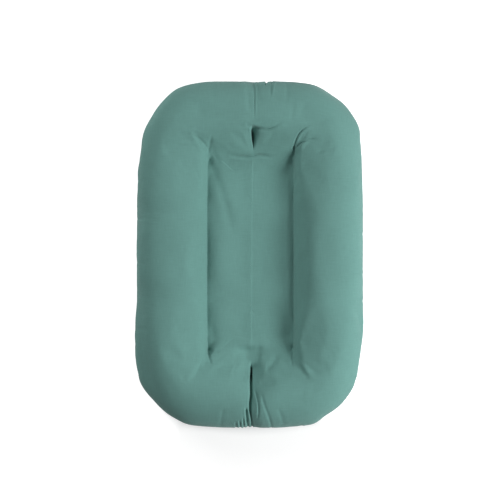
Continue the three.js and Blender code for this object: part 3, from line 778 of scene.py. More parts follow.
def settled_side(side, rows, before, sizes):
    """The upper face of one side's panel once the cloth has settled over the stuffing."""
    valley = len(SLING_SHARES)
    way = column_ways()
    crease = (1 - smooth(0, 0.6, rows.blend))[:, 0]
    tuft = np.clip(tuft_depth(sizes, before[..., 0], before[..., 1], SIDES[side]) / (12 * MM), 0, 1)
    held = np.maximum(tuft, 0.55 * (1 - smooth(0, mix(0.04, 0.4, rows.ramp), way)))
    held[:, valley] = np.maximum(held[:, valley], crease)
    held[:, valley + 1] = np.maximum(held[:, valley + 1], 0.6 * crease)
    held[before[..., 0] < 1 * MM] = 1
    held[:, -1] = 1
    puffed = smooth(0, mix(0.02, 0.6, rows.ramp), way)
    made = grid("settling_" + side, mirrored(before, side))
    face_outwards(made, True)
    settle(made, held.reshape(-1), puffed.reshape(-1), sizes)
    points = mirrored(coordinates(made).reshape(before.shape), side)
    bpy.data.objects.remove(made)
    return points


def column_ways():
    """Where each column of the grid lies: below 0 on the sling, from 0 to 1 up the slope, and 1 beyond."""
    return np.concatenate([SLING_SHARES - 1, SLOPE_SHARES, np.ones(len(OUTER_ANGLES))])[None, :]


def release_seam(rows, before, after):
    """Lets each end's seam rise with the cloth beside it, since the settling holds it down."""
    moved = {side: after[side] - before[side] for side in SIDES}
    for end in (1, -1):
        chosen = rows.end[:, 0] == end
        x = before["right"][chosen][..., 0]
        weight = bell(x - 24 * MM, 6 * MM)[..., None] + 1e-9
        beside = sum((moved[side][chosen] * weight).sum(0) / weight.sum(0) for side in SIDES) / 2
        beside[:, 0] = 0
        near = (1 - smooth(0, 22 * MM, x)) * smooth(-0.1, 0.2, column_ways())
        for side, sign in SIDES.items():
            tuft = tuft_depth(rows.sizes, x, before[side][chosen][..., 1], sign)
            share = (near * (1 - smooth(1 * MM, 5 * MM, tuft)))[..., None]
            shift = mix(moved[side][chosen], beside * SEAM_FREE, share)
            after[side][chosen] = before[side][chosen] + shift


def even_out(rows, side, points):
    """Evens out the foot of each ramp, the place where rows start to turn, and the outline."""
    way, x = column_ways(), points[..., 0]
    tuft = tuft_depth(rows.sizes, x, points[..., 1], SIDES[side])
    foot = smooth(-0.12, -0.02, way) * (1 - smooth(0.25, 0.5, way)) * rows.evened
    eased(points, foot * (1 - smooth(1 * MM, 6 * MM, tuft)), 60)
    turning = bell(np.abs(points[..., 1]) - rows.pole, 22 * MM) * smooth(1 * MM, 4 * MM, x)
    eased(points, turning * (1 - bell(way, 0.06)), 40)
    to_end = np.arange(points.shape[1])[None, :] - points.shape[1]
    eased(points, np.broadcast_to(0.6 * smooth(-6, 0, to_end), x.shape), 10, (0,))


# The panels once settled, kept since every layer below them needs them again
SETTLED = {}


def settled_top(side, sizes):
    """The rows, and the upper face of one side's settled panel as rows of points."""
    if not SETTLED:
        rows = Rows(sizes)
        before = {name: top_points(rows, sign) for name, sign in SIDES.items()}
        after = {name: points.copy() for name, points in before.items()}
        after = {name: settled_side(name, rows, before[name], sizes) for name in SIDES}
        release_seam(rows, before, after)
        for name in SIDES:
            even_out(rows, name, after[name])
            SETTLED[name] = (rows, after[name])
    return SETTLED[side]


def seam_values(points):
    """Each point's way to the outline's seam, and round the outline."""
    way, edge = ways(points), ways(points[None, :, -1])
    round_it = np.broadcast_to(edge.T, way.shape)
    return {"to_outline": way[:, -1:] - way, "round": round_it}


def panel(name, side, rows, points, upwards):
    """One side's sheet, with its cloth map and its ways to the seams."""
    places = mirrored(cloth_places(rows, points), side)
    made = grid(name, mirrored(points, side), places, seam_values(points))
    face_outwards(made, upwards)
    return made


# Where the folds fade towards the floor: none below the first height, all of them above the second
FOLDS_START = (8 * MM, 40 * MM)

# The inner layers follow only the folds from this depth on, in mm, and each at this width at least
INNER_FOLD_DEPTH, INNER_FOLD_WIDTH = 1.2, 6 * MM


def fold_everywhere(plan, inner=False):
    """All the folds together, or the wide hollows without ridges that the inner layers have below them."""
    lift = np.zeros(len(plan))
    for path, depth, width, ridge in FOLDS:
        if not inner:
            lift += fold_lift(plan, smooth_line(path), depth * MM, width * MM, ridge * MM)
        elif depth >= INNER_FOLD_DEPTH:
            lift += fold_lift(plan, smooth_line(path), depth * MM, max(width * MM, INNER_FOLD_WIDTH), 0)
    return lift


# Lumps of the stuffing under the cover: how high they stand, how wide they are, and which noise they take
LUMPS = [(0.7 * MM, 55 * MM, 1), (0.22 * MM, 17 * MM, 4)]

# Puckers beside the outline's seam, in the same way, and how far from the seam they fade
PUCKERS, PUCKERS_REACH = (0.7 * MM, 8 * MM, 7), 8 * MM

# The groove that the outline's seam lies in: its depth and its reach
OUTLINE_GROOVE = (1.5 * MM, 1.9 * MM)

# The overlap of the centre seam: how high it stands, how far it reaches on the right and on the left of the
# seam, and where it ends towards the tufts
SEAM_STEP, SEAM_STEP_REACH, SEAM_STEP_END = 0.5 * MM, (3.4 * MM, 9 * MM), (190 * MM, 215 * MM)

# Half the sheets' gap at the centre seam
SEAM_GAP = 0.02 * MM


def dress(made, side, sizes, top):
    """Folds, unevenness and seams, once the panel is fine enough to carry them."""
    refine(made)
    to_outline, round_it = kept_value(made, "to_outline"), kept_value(made, "round")
    points = coordinates(made)
    from_seam = np.abs(points[:, 0])
    on_seam = from_seam < SEAM_GAP
    points = shape_outline(wander(points, top), sizes)
    move_to(made, points)
    normals = read(made.data.vertex_normals, "vector")
    normals[on_seam, 0] = 0
    normals[:, 2] *= 1 - bell(to_outline, 3 * MM)
    normals = unit(normals)
    above = smooth(*FOLDS_START, points[:, 2])
    lift = fold_everywhere(points[:, :2]) * above
    for height, wide, seed in LUMPS:
        lift += height * unevenness(points, wide, seed) * above
    lift -= OUTLINE_GROOVE[0] * bell(to_outline, OUTLINE_GROOVE[1])
    height, wide, seed = PUCKERS
    beside = np.stack([round_it, 0 * round_it, 0 * round_it], axis=1)
    puckers = height * unevenness(beside, wide, seed) * np.exp(-to_outline / PUCKERS_REACH)
    lift += puckers * (to_outline > 1 * MM)
    if top:
        right, left = SEAM_STEP_REACH
        step = 1 - smooth(0, right, from_seam) if side == "right" else bell(from_seam, left)
        lift += SEAM_STEP * step * (1 - smooth(*SEAM_STEP_END, np.abs(points[:, 1])))
    points += normals * lift[:, None]
    points[:, 2] = np.maximum(points[:, 2], 0)
    points[:, 0] += np.where(on_seam, SIDES[side] * SEAM_GAP, 0)
    move_to(made, points)


def inner_skin(side, sizes, depth):
    """The settled upper skin, some way in, with hollows below the cover's creases."""
    rows, points = settled_top(side, sizes)
    return rows, hollowed(inward_offset(points, depth, False), side, sizes, True)


def inner_base(side, sizes, depth):
    """The pad's underside, some way in."""
    rows = settled_top(side, sizes)[0]
    return rows, hollowed(inward_offset(pad_base_points(rows), depth, True), side, sizes, False)


# How far the inner layers keep below the cover's dimples and slits, and how far they are drawn in at its
# outline, as a share of their distance from the middle
PINCH_CLEARANCE, OUTLINE_CLEARANCE = 7 * MM, 0.006


def hollowed(points, side, sizes, top):
    """Moves an inner skin as the cover's folds, seam and outline are moved, and keeps it clear of them."""
    moved = shape_outline(wander(mirrored(points, side), top), sizes)
    flat = moved.reshape(-1, 3)
    lift = fold_everywhere(flat[:, :2], True) * smooth(*FOLDS_START, flat[:, 2])
    out = near_outline(flat, sizes, 0.35, 0.85)
    at_ends = np.sign(flat[:, 1]) * (np.abs(flat[:, 1]) > 250 * MM)
    flat[:, 1] += 1.2 * lift * out * at_ends
    flat[:, :2] *= 1 - OUTLINE_CLEARANCE * out[:, None]
    if top:
        flat[:, 2] += lift * (1 - out)
    moved = flat.reshape(moved.shape)
    moved[..., 2] -= PINCH_CLEARANCE * below_pinches(moved) * smooth(15 * MM, 30 * MM, moved[..., 2])
    return mirrored(moved, side)


def below_pinches(points):
    """1 below the four dimples and the two slits, where the inner layers keep clear of the cover."""
    x, y = np.abs(points[..., 0]), np.abs(points[..., 1])
    dimple = bell(x - 84 * MM, 20 * MM) * bell(y - 206 * MM, 24 * MM)
    slit = bell(x, 16 * MM) * smooth(190 * MM, 220 * MM, y) * (1 - smooth(300 * MM, 335 * MM, y))
    return np.maximum(dimple, slit)


def finish_piece(made, node, material, body=PAD):
    """Says what a piece is made of and rides on, and which solid it replaces, if any."""
    made.data.materials.clear()
    made.data.materials.append(material)
    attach(made, body)
    if node:
        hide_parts(node)


def finish_sheet(made, node, material):
    """The same for a sheet."""
    finish_piece(made, node, material)


# Materials


def add(tree, kind, values=None, **settings):
    """A node with its settings, and its inputs set or linked."""
    made = tree.nodes.new(kind)
    for name, value in settings.items():
        setattr(made, name, value)
    for name, value in (values or {}).items():
        if isinstance(value, bpy.types.NodeSocket):
            tree.links.new(value, made.inputs[name])
        else:
            made.inputs[name].default_value = value
    return made


def new_material(name, base, roughness, **values):
    """A material with its shader, and its node tree."""
    material = bpy.data.materials.new(name)
    material.use_nodes = True
    tree = material.node_tree
    shader = tree.nodes["Principled BSDF"]
    shader.inputs["Base Color"].default_value = (*base, 1)
    shader.inputs["Roughness"].default_value = roughness
    for key, value in values.items():
        shader.inputs[key.replace("_", " ")].default_value = value
    material.diffuse_color = (*base, 1)
    return material, tree, shader


def scaled(tree, vector, scale):
    return add(tree, "ShaderNodeMapping", {"Vector": vector, "Scale": scale}).outputs["Vector"]


def on_piece(tree):
    """The place on the piece itself."""
    return add(tree, "ShaderNodeTexCoord").outputs["Object"]


def noise_of(tree, vector, scale, detail=2.0):
    values = {"Vector": vector, "Scale": scale, "Detail": detail}
    return add(tree, "ShaderNodeTexNoise", values).outputs["Fac"]


def arithmetic(tree, operation, first, second):
    return add(tree, "ShaderNodeMath", {0: first, 1: second}, operation=operation).outputs[0]


def tint(tree, base, darker, lighter, share):
    """A colour that runs from darker to lighter with a share."""
    made = add(tree, "ShaderNodeMix", {"Factor": share}, data_type="RGBA")
    made.inputs[6].default_value = (*[c * darker for c in base], 1)
    made.inputs[7].default_value = (*[min(1, c * lighter) for c in base], 1)
    return made.outputs[2]


def bump(tree, height, distance, strength, normal=None):
    values = {"Height": height, "Distance": distance, "Strength": strength}
    if normal is not None:
        values["Normal"] = normal
    return add(tree, "ShaderNodeBump", values).outputs["Normal"]


def weave(tree, vector, pitch):
    """Plain weave: rounded threads that pass over and under each other."""
    centred = scaled(tree, vector, (1 / pitch, 1 / pitch, 1))
    values = {"Vector": centred, "Scale": 0.5}
    warp, weft = [
        add(tree, "ShaderNodeTexWave", values, bands_direction=axis).outputs["Fac"] for axis in "XY"
    ]
    over = add(tree, "ShaderNodeTexChecker", {"Vector": centred, "Scale": 1.0}).outputs["Fac"]
    mixed = add(tree, "ShaderNodeMix", {"Factor": over, "A": warp, "B": weft}, data_type="FLOAT")
    return mixed.outputs[0]


def cotton(name, base, pitch, creasing):
    """Plain-woven cotton on the piece's own cloth map, with slubs, uneven colour and soft creasing."""
    material, tree, shader = new_material(name, base, 0.88, Sheen_Weight=0.14, Sheen_Roughness=0.45)
    shader.inputs["Specular IOR Level"].default_value = 0.2
    places, body = add(tree, "ShaderNodeUVMap", uv_map="cloth").outputs["UV"], on_piece(tree)
    threads = weave(tree, places, pitch)
    warp = noise_of(tree, scaled(tree, places, (560, 45, 1)), 1.0)
    weft = noise_of(tree, scaled(tree, places, (40, 500, 1)), 1.0)
    slubs = arithmetic(tree, "MULTIPLY", arithmetic(tree, "ADD", warp, weft), 0.5)
    fine = arithmetic(tree, "MULTIPLY", slubs, 0.7)
    broad = arithmetic(tree, "MULTIPLY", noise_of(tree, body, 9.0), 0.3)
    share = arithmetic(tree, "ADD", fine, broad)
    tree.links.new(tint(tree, base, 0.78, 1.2, share), shader.inputs["Base Color"])
    soft = bump(tree, noise_of(tree, body, 45.0, 3.0), 1.6 * MM, creasing)
    slubbed = bump(tree, slubs, 0.3 * MM, 0.35, soft)
    tree.links.new(bump(tree, threads, 0.12 * MM, 0.5, slubbed), shader.inputs["Normal"])
    return material


def fibre(name, base):
    """Fluffed polyester fibre."""
    material, tree, shader = new_material(name, base, 0.95, Sheen_Weight=0.5, Sheen_Roughness=0.6)
    body = on_piece(tree)
    clumps = noise_of(tree, body, 60.0, 6.0)
    strands = noise_of(tree, scaled(tree, body, (700, 90, 300)), 1.0, 4.0)
    tree.links.new(tint(tree, base, 0.93, 1.02, clumps), shader.inputs["Base Color"])
    lumps = bump(tree, clumps, 4 * MM, 0.5)
    tree.links.new(bump(tree, strands, 0.8 * MM, 0.5, lumps), shader.inputs["Normal"])
    return material


def tape_cloth(name, base):
    """Herringbone tape."""
    material, tree, shader = new_material(name, base, 0.8, Sheen_Weight=0.15, Sheen_Roughness=0.4)
    parts = add(tree, "ShaderNodeSeparateXYZ", {"Vector": on_piece(tree)})
    zig = arithmetic(tree, "PINGPONG", parts.outputs["X"], 1.6 * MM)
    turned = arithmetic(tree, "ADD", parts.outputs["Y"], zig)
    lines = arithmetic(tree, "SINE", arithmetic(tree, "MULTIPLY", turned, 2 * math.pi / (0.9 * MM)), 0.0)
    height = arithmetic(tree, "MULTIPLY_ADD", lines, 0.5)
    tree.links.new(tint(tree, base, 0.85, 1.12, height), shader.inputs["Base Color"])
    tree.links.new(bump(tree, height, 0.12 * MM, 0.6), shader.inputs["Normal"])
    return material


def moulded(name, base):
    """Moulded plastic with the faint grain of its mould."""
    material, tree, shader = new_material(name, base, 0.42)
    grain = noise_of(tree, on_piece(tree), 2500.0, 3.0)
    tree.links.new(tint(tree, base, 0.94, 1.06, grain), shader.inputs["Base Color"])
    tree.links.new(bump(tree, grain, 0.03 * MM, 0.4), shader.inputs["Normal"])
    return material


def plated(name, base):
    """Satin metal, brushed along the zip, a little duller in patches."""
    material, tree, shader = new_material(name, base, 0.34, Metallic=1.0)
    body = on_piece(tree)
    brushed = noise_of(tree, scaled(tree, body, (9000, 500, 9000)), 1.0, 3.0)
    levels = {"Value": noise_of(tree, body, 350.0, 3.0), "To Min": 0.26, "To Max": 0.44}
    rough = add(tree, "ShaderNodeMapRange", levels)
    tree.links.new(rough.outputs["Result"], shader.inputs["Roughness"])
    tree.links.new(tint(tree, base, 0.92, 1.04, brushed), shader.inputs["Base Color"])
    tree.links.new(bump(tree, brushed, 0.02 * MM, 0.3), shader.inputs["Normal"])
    return material


def finishes(colours):
    """The lounger's materials, made once."""
    makers = {
        "cover_cotton": (cotton, colours.cover, 0.62 * MM, 0.12),
        "casing_cotton": (cotton, colours.casing, 0.5 * MM, 0.3),
        "filling_fibre": (fibre, colours.filling),
        "zip_tape_cloth": (tape_cloth, colours.tape),
        "zip_teeth_plastic": (moulded, colours.teeth),
        "zip_metal": (plated, colours.metal),
    }
    return {
        name: bpy.data.materials.get(name) or make(name, tuple(base), *settings)
        for name, (make, base, *settings) in makers.items()
    }


class LoungerOperator(bpy.types.Operator):
    bl_options = {"REGISTER", "UNDO"}

    @property
    def sizes(self):
        return bpy.context.scene.lounger_sizes

    @property
    def zip(self):
        return bpy.context.scene.lounger_zip

    @property
    def finishes(self):
        return finishes(bpy.context.scene.lounger_colours)


# The panels' sizes laid flat, in metres: across and along
TOP_FLAT, COVER_BASE_FLAT, CASING_BASE_FLAT = (0.33, 0.75), (0.27, 0.72), (0.33, 0.72)


class LOUNGER_OT_cover_top(LoungerOperator):
    """Make the cover's two upper panels"""

    bl_idname = "lounger.cover_top"
    bl_label = "Cover top"

    def execute(self, context):
        for side in SIDES:
            rows, points = settled_top(side, self.sizes)
            made = panel("cover_top_cloth_" + side, side, rows, points, True)
            dress(made, side, self.sizes, True)
            thicken(made, self.sizes.cover_cloth)
            shade_smooth(made)
            finish, below = self.finishes["cover_cotton"], ["casing_top_" + side]
            finish_sheet(made, "cover_top_" + side, finish)
        return {"FINISHED"}


class LOUNGER_OT_cover_base(LoungerOperator):
    """Make the cover's two lower panels, with the slot for the zip"""

    bl_idname = "lounger.cover_base"
    bl_label = "Cover base"

    def execute(self, context):
        for side in SIDES:
            rows = settled_top(side, self.sizes)[0]
            made = panel("cover_base_cloth_" + side, side, rows, cover_base_points(rows), False)
            dress(made, side, self.sizes, False)
            cut_slot(made, self.zip)
            thicken(made, self.sizes.cover_cloth)
            shade_smooth(made)
            finish, below = self.finishes["cover_cotton"], ["casing_base_" + side]
            finish_sheet(made, "cover_base_" + side, finish)
        return {"FINISHED"}


def faces_within(bm, half_wide, half_long):
    """The faces whose middle lies within a rectangle about the origin, seen from above."""
    middles = {f: f.calc_center_median() for f in bm.faces}
    return [f for f, at in middles.items() if abs(at.x) < half_wide and abs(at.y) < half_long]


def cut_slot(made, chain):
    """Opens the base along the zip."""
    bm = bmesh.new()
    bm.from_mesh(made.data)
    half, end = chain.slot_half, chain.chain / 2 + chain.slot_past
    planes = [((x, 0, 0), (1, 0, 0)) for x in (-half, half)]
    planes += [((0, y, 0), (0, 1, 0)) for y in (-end, end)]
    for place, normal in planes:
        near = faces_within(bm, 20 * MM, end + 12 * MM)
        around = {*near, *(e for f in near for e in f.edges), *(v for f in near for v in f.verts)}
        bmesh.ops.bisect_plane(bm, geom=list(around), dist=1e-6, plane_co=place, plane_no=normal)
    bmesh.ops.delete(bm, geom=faces_within(bm, half, end), context="FACES")
    bm.to_mesh(made.data)
    bm.free()


class LOUNGER_OT_casing(LoungerOperator):
    """Make the pad's own cotton casing, which the cover hides"""

    bl_idname = "lounger.casing"
    bl_label = "Casing"

    def execute(self, context):
        skins = {"top": (inner_skin, TOP_FLAT), "base": (inner_base, CASING_BASE_FLAT)}
        for side in SIDES:
            for level, (skin, flat) in skins.items():
                rows, points = skin(side, self.sizes, self.sizes.casing_depth)
                made = panel(f"casing_{level}_{side}", side, rows, points, level == "top")
                for key in ("to_outline", "round"):
                    kept_value(made, key)
                thicken(made, self.sizes.casing_cloth)
                shade_smooth(made)
                finish, below = self.finishes["casing_cotton"], ["rim_fibre", "sling_fibre"]
                finish_sheet(made, f"liner_{level}_{side}", finish)
        return {"FINISHED"}


def closed_grid(name, points):
    """A grid whose rows close on themselves, made whole by merging what meets."""
    made = grid(name, points)
    bm = bmesh.new()
    bm.from_mesh(made.data)
    bmesh.ops.remove_doubles(bm, verts=bm.verts, dist=1e-5)
    bmesh.ops.dissolve_degenerate(bm, edges=bm.edges, dist=1e-6)
    bmesh.ops.recalc_face_normals(bm, faces=bm.faces)
    bm.to_mesh(made.data)
    bm.free()
    return made


class LOUNGER_OT_filling(LoungerOperator):
    """Make the fibre ring in the rim and the thin wadding of the sling"""

    bl_idname = "lounger.filling"
    bl_label = "Filling"

    def execute(self, context):
        depth = self.sizes.filling_depth
        valley = len(SLING_SHARES)
        rings, slings = {}, {}
        for side in SIDES:
            upper = mirrored(inner_skin(side, self.sizes, depth)[1], side)
            lower = mirrored(inner_base(side, self.sizes, depth)[1], side)
            outer, back = upper[:, valley:], lower[:, valley:][:, ::-1]
            rings[side] = np.concatenate([outer, back, outer[:, :1]], axis=1)
            slings[side] = (upper[:, : valley + 1], lower[:, : valley + 1])
        ring = np.concatenate([rings["right"], rings["left"][-2:0:-1], rings["right"][:1]], axis=0)
        made = closed_grid("rim_fibre", ring)
        shade_smooth(made)
        finish_piece(made, "rim_filling", self.finishes["filling_fibre"])
        high = np.concatenate([slings["left"][0][:, ::-1], slings["right"][0][:, 1:]], axis=1)
        low = np.concatenate([slings["right"][1][:, ::-1], slings["left"][1][:, 1:]], axis=1)
        made = closed_grid("sling_fibre", np.concatenate([high, low, high[:, :1]], axis=1))
        shade_smooth(made)
        finish_piece(made, "sling_wadding", self.finishes["filling_fibre"])
        return {"FINISHED"}


def spun(bm, geom, centre, axis, steps, angle=2 * math.pi, rise=(0, 0, 0)):
    turn = {"cent": centre, "axis": axis, "dvec": rise, "angle": angle, "steps": steps}
    bmesh.ops.spin(bm, geom=geom, use_merge=rise == (0, 0, 0), **turn)


# How far a strand of a tie climbs in one turn
TWIST_PITCH = 5 * MM


def twisted_cord(name, low, high, radius, lean):
    """Two strands twisted round each other, from a low end to a high one, which may lean to the side."""
    bm = bmesh.new()
    turns = (high - low) / TWIST_PITCH
    steps = int(turns * 14)
    for start in (0, math.pi):
        circle = bmesh.ops.create_circle(bm, cap_ends=True, radius=radius * 0.56, segments=8)
        verts = circle["verts"]
        bmesh.ops.translate(bm, verts=verts, vec=(radius * 0.48, 0, low))
        bmesh.ops.rotate(bm, verts=verts, cent=(0, 0, 0), matrix=Matrix.Rotation(start, 3, "Z"))
        edges = {e for v in verts for e in v.link_edges}
        geom = [*verts, *edges, *{f for v in verts for f in v.link_faces}]
        spun(bm, geom, (0, 0, 0), (0, 0, 1), steps, 2 * math.pi * turns, (0, 0, (high - low) / steps))
    bmesh.ops.recalc_face_normals(bm, faces=bm.faces)
    for v in bm.verts:
        v.co.x += lean * (v.co.z - low) / (high - low)
    return finish_bmesh(bm, name)


class LOUNGER_OT_tufts(LoungerOperator):
    """Make the ties that draw the tufts down, and the felt washers that hold them"""

    bl_idname = "lounger.tufts"
    bl_label = "Tufts"

    def execute(self, context):
        for end in ("head", "foot"):
            low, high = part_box("tuft_tie_" + end)
            middle = (low.y + high.y) / 2
            lean = float(seam_shift(np.array([middle]), True)[0])
            radius = (high.x - low.x) / 2
            made = twisted_cord(f"tuft_cord_{end}", low.z, high.z - 1.5 * MM, radius * 0.95, lean)
            move_to(made, coordinates(made) + [0, middle, 0])
            shade_smooth(made)
            finish_piece(made, "tuft_tie_" + end, self.finishes["cover_cotton"])
            made = self.washer(end)
            shade_smooth(made)
            finish_piece(made, "tuft_washer_" + end, self.finishes["casing_cotton"])
        return {"FINISHED"}

    def washer(self, end):
        """A felt disc with rounded rims, turned about the tie."""
        low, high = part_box("tuft_washer_" + end)
        centre = (low + high) / 2
        outer, inner, half = (high.x - low.x) / 2, 2 * MM, (high.z - low.z) / 2
        bm = bmesh.new()
        round_off = 0.7 * MM
        section = [
            (inner, -half), (outer - round_off, -half), (outer, -half + round_off),
            (outer, half - round_off), (outer - round_off, half), (inner, half),
        ]
        verts = [bm.verts.new((centre.x + x, centre.y, centre.z + z)) for x, z in section]
        edges = [bm.edges.new((a, b)) for a, b in zip(verts, verts[1:] + verts[:1])]
        spun(bm, [*verts, *edges], (centre.x, centre.y, 0), (0, 0, 1), 48)
        bmesh.ops.remove_doubles(bm, verts=bm.verts, dist=1e-6)
        bmesh.ops.recalc_face_normals(bm, faces=bm.faces)
        return finish_bmesh(bm, "tuft_felt_" + end)


def zip_middle(sizes, chain):
    """The height of the zip's middle plane."""
    return sizes.base_lift + sizes.cover_cloth + chain.gap + chain.tape_thickness / 2


def box_between(bm, low, high):
    """A box by its low and high corners."""
    made = bmesh.ops.create_cube(bm, size=1)["verts"]
    bmesh.ops.scale(bm, verts=made, vec=[b - a for a, b in zip(low, high)])
    bmesh.ops.translate(bm, verts=made, vec=[(a + b) / 2 for a, b in zip(low, high)])
    return made


def bevel_edges(bm, edges, offset, segments=2):
    round_off = {"offset": offset, "offset_type": "OFFSET", "affect": "EDGES", "segments": segments}
    bmesh.ops.bevel(bm, geom=edges, profile=0.5, material=-1, clamp_overlap=True, **round_off)


def bevelled(bm, verts, offset, segments=2):
    bevel_edges(bm, list({e for v in verts for e in v.link_edges}), offset, segments)


# A stitch: from one to the next, its length and its thickness
STITCH = (3.2 * MM, 2.5 * MM, 0.48 * MM)


class LOUNGER_OT_zip_cloth(LoungerOperator):
    """Make the zip's tapes, and the stitches that hold the cover to them"""

    bl_idname = "lounger.zip_cloth"
    bl_label = "Zip tapes"

    def execute(self, context):
        z = self.zip
        middle = z.cord_far + z.gap + z.tape_width / 2
        long = z.chain + 2 * (z.slot_past + z.tape_past)
        for side, sign in SIDES.items():
            bm = bmesh.new()
            bmesh.ops.create_grid(bm, x_segments=8, y_segments=120, size=0.5)
            bmesh.ops.scale(bm, verts=bm.verts, vec=(z.tape_width, long, 1))
            bmesh.ops.translate(bm, verts=bm.verts, vec=(sign * middle, 0, zip_middle(self.sizes, z)))
            made = finish_bmesh(bm, "zip_tape_cloth_" + side)
            thicken(made, z.tape_thickness, 0)
            finish, below = self.finishes["zip_tape_cloth"], ["cover_base_cloth_" + side]
            finish_sheet(made, "zip_tape_" + side, finish)
        self.stitches()
        return {"FINISHED"}

    def stitches(self):
        """Lockstitches round the slot, each a short thread that dips in at its ends."""
        pitch, long, thick = STITCH
        beside = self.zip.slot_half + 2 * MM
        past = self.zip.chain / 2 + self.zip.slot_past + 2.4 * MM
        height = self.sizes.base_lift - 0.02 * MM

        def steps(half):
            count = int(2 * half / pitch)
            return [(i + 0.5 - count / 2) * pitch for i in range(count)]

        along, across = (thick, long, thick), (long, thick, thick)
        stitches = [((x, y, height), along) for x in (-beside, beside) for y in steps(past)]
        stitches += [((x, y, height), across) for y in (-past, past) for x in steps(beside)]
        bm = bmesh.new()
        for place, size in stitches:
            made = bmesh.ops.create_uvsphere(bm, u_segments=8, v_segments=4, radius=0.5)["verts"]
            bmesh.ops.scale(bm, verts=made, vec=size)
            bmesh.ops.translate(bm, verts=made, vec=place)
        made = finish_bmesh(bm, "zip_stitches")
        shade_smooth(made)
        finish_piece(made, None, self.finishes["zip_tape_cloth"])


class LOUNGER_OT_zip_teeth(LoungerOperator):
    """Make the corded edges with their moulded teeth"""

    bl_idname = "lounger.zip_teeth"
    bl_label = "Zip teeth"

    def execute(self, context):
        for side, sign in SIDES.items():
            made = self.side_of_teeth("zip_row_" + side, sign)
            shade_smooth(made)
            finish_piece(made, "zip_teeth_" + side, self.finishes["zip_teeth_plastic"])
        return {"FINISHED"}

    def side_of_teeth(self, name, sign):
        """One side's corded edge, with its teeth from the stop at the foot's end to behind the wedge."""
        z = self.zip
        middle = zip_middle(self.sizes, z)
        end = z.chain / 2
        slider_front = end - z.stop - z.standoff
        first = -end + z.stop + z.pitch / 2
        last = slider_front - z.wedge_back - z.gap - z.tooth_head / 2 - z.pitch / 2
        count = int((last - first) / z.pitch) + 1
        shift = 0 if sign > 0 else z.pitch / 2
        bm = bmesh.new()
        self.tooth(bm, sign, middle)
        geom = [*bm.verts, *bm.edges, *bm.faces]
        bmesh.ops.translate(bm, verts=bm.verts, vec=(0, first + shift, 0))
        for i in range(1, count):
            copied = bmesh.ops.duplicate(bm, geom=geom)["geom"]
            verts = [v for v in copied if isinstance(v, bmesh.types.BMVert)]
            bmesh.ops.translate(bm, verts=verts, vec=(0, i * z.pitch, 0))
        half = z.cord_thickness / 2
        low, high = sorted((sign * z.cord_near, sign * z.cord_far))
        cord = box_between(bm, (low, -end, middle - half), (high, end, middle + half))
        bevelled(bm, cord, 0.5 * MM, 3)
        return finish_bmesh(bm, name)

    def tooth(self, bm, sign, middle):
        """One tooth: a neck from the cord, and a head that widens past the middle."""
        z = self.zip
        half = z.tooth_thickness / 2
        low, high = sorted((-sign * z.tooth_reach, sign * (z.cord_near + z.gap)))
        made = box_between(bm, (low, -0.5, middle - half), (high, 0.5, middle + half))
        for v in made:
            at_head = abs(v.co.x + sign * z.tooth_reach) < 1e-6
            v.co.y *= z.tooth_head if at_head else z.tooth_neck
        bevelled(bm, made, 0.2 * MM)


class LOUNGER_OT_zip_metal(LoungerOperator):
    """Make the zip's slider, pull and stops"""

    bl_idname = "lounger.zip_metal"
    bl_label = "Zip metal"

    def execute(self, context):
        pieces = {
            "zip_slider": ("slider_body", SLIDER, 0.16 * MM),
            "zip_pull": ("slider_pull", PULL, 0.3 * MM),
            "zip_top_stop_left": ("stop_top_left", PAD, 0.12 * MM),
            "zip_top_stop_right": ("stop_top_right", PAD, 0.12 * MM),
            "zip_bottom_stop": ("stop_bottom", PAD, 0.12 * MM),
        }
        for node, (name, body, round_off) in pieces.items():
            made = self.rounded_copy(node, name, round_off)
            finish_piece(made, node, self.finishes["zip_metal"], body)
        return {"FINISHED"}

    def rounded_copy(self, node, name, round_off):
        """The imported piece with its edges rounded, as a plated casting has."""
        bm = bmesh.new()
        bm.from_mesh(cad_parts[node].data)
        bmesh.ops.remove_doubles(bm, verts=bm.verts, dist=1e-6)
        bmesh.ops.dissolve_limit(bm, angle_limit=math.radians(1), verts=bm.verts, edges=bm.edges)
        sharp = [e for e in bm.edges if len(e.link_faces) == 2 and e.calc_face_angle(0) > math.radians(28)]
        bevel_edges(bm, sharp, round_off)
        for face in bm.faces:
            face.smooth = True
        made = finish_bmesh(bm, name)
        modifier = made.modifiers.new("Faces", "WEIGHTED_NORMAL")
        modifier.keep_sharp = True
        return made


# The lamps: place, diameter in metres and power in watts
LAMPS = {
    "key_softbox": ((2.08, -0.37, 1.43), 0.95, 64),
    "fill_softbox": ((-1.6, 1.6, 1.3), 1.6, 30),
}
AIM = (0, 0, 0.05)

# How bright the sky is on the lounger
SKY = (0.215, 0.215, 0.215, 1)

# The light that the floor adds where it is seen, so that it meets the white background and keeps its shadow
# at the foot: past a curve in front of the foot, to the sides, and from the foot's edge towards the head.
# To the sides and towards the head it is painted light that whitens the real shadow. In front of the foot it
# is weaker, and weakest at the foot's edge, which paints a shadow there on top of the real one.
# Each lift grows from one place to another, in metres, and from one strength to another.
FOOT_PAINTED_SHADOW_CURVE = 0.93
FOOT_PAINTED_SHADOW_LIFT = (0.355, 0.385, 0.24, 0.47)
SIDE_LIFT_OVER_SHADOW = (0.11, 0.2, 0.24, 0.85)
HEAD_LIFT_OVER_SHADOW = (-0.345, -0.3, 0, 0.85)


class LOUNGER_OT_stage(LoungerOperator):
    """Make the floor, the lamps, the sky and the camera"""

    bl_idname = "lounger.stage"
    bl_label = "Stage"

    def execute(self, context):
        make_floor(context.scene.lounger_colours)
        make_world()
        for name, (place, size, power) in LAMPS.items():
            make_lamp(name, place, size, power)
        make_camera()
        context.scene.view_settings.view_transform = "Standard"
        return {"FINISHED"}


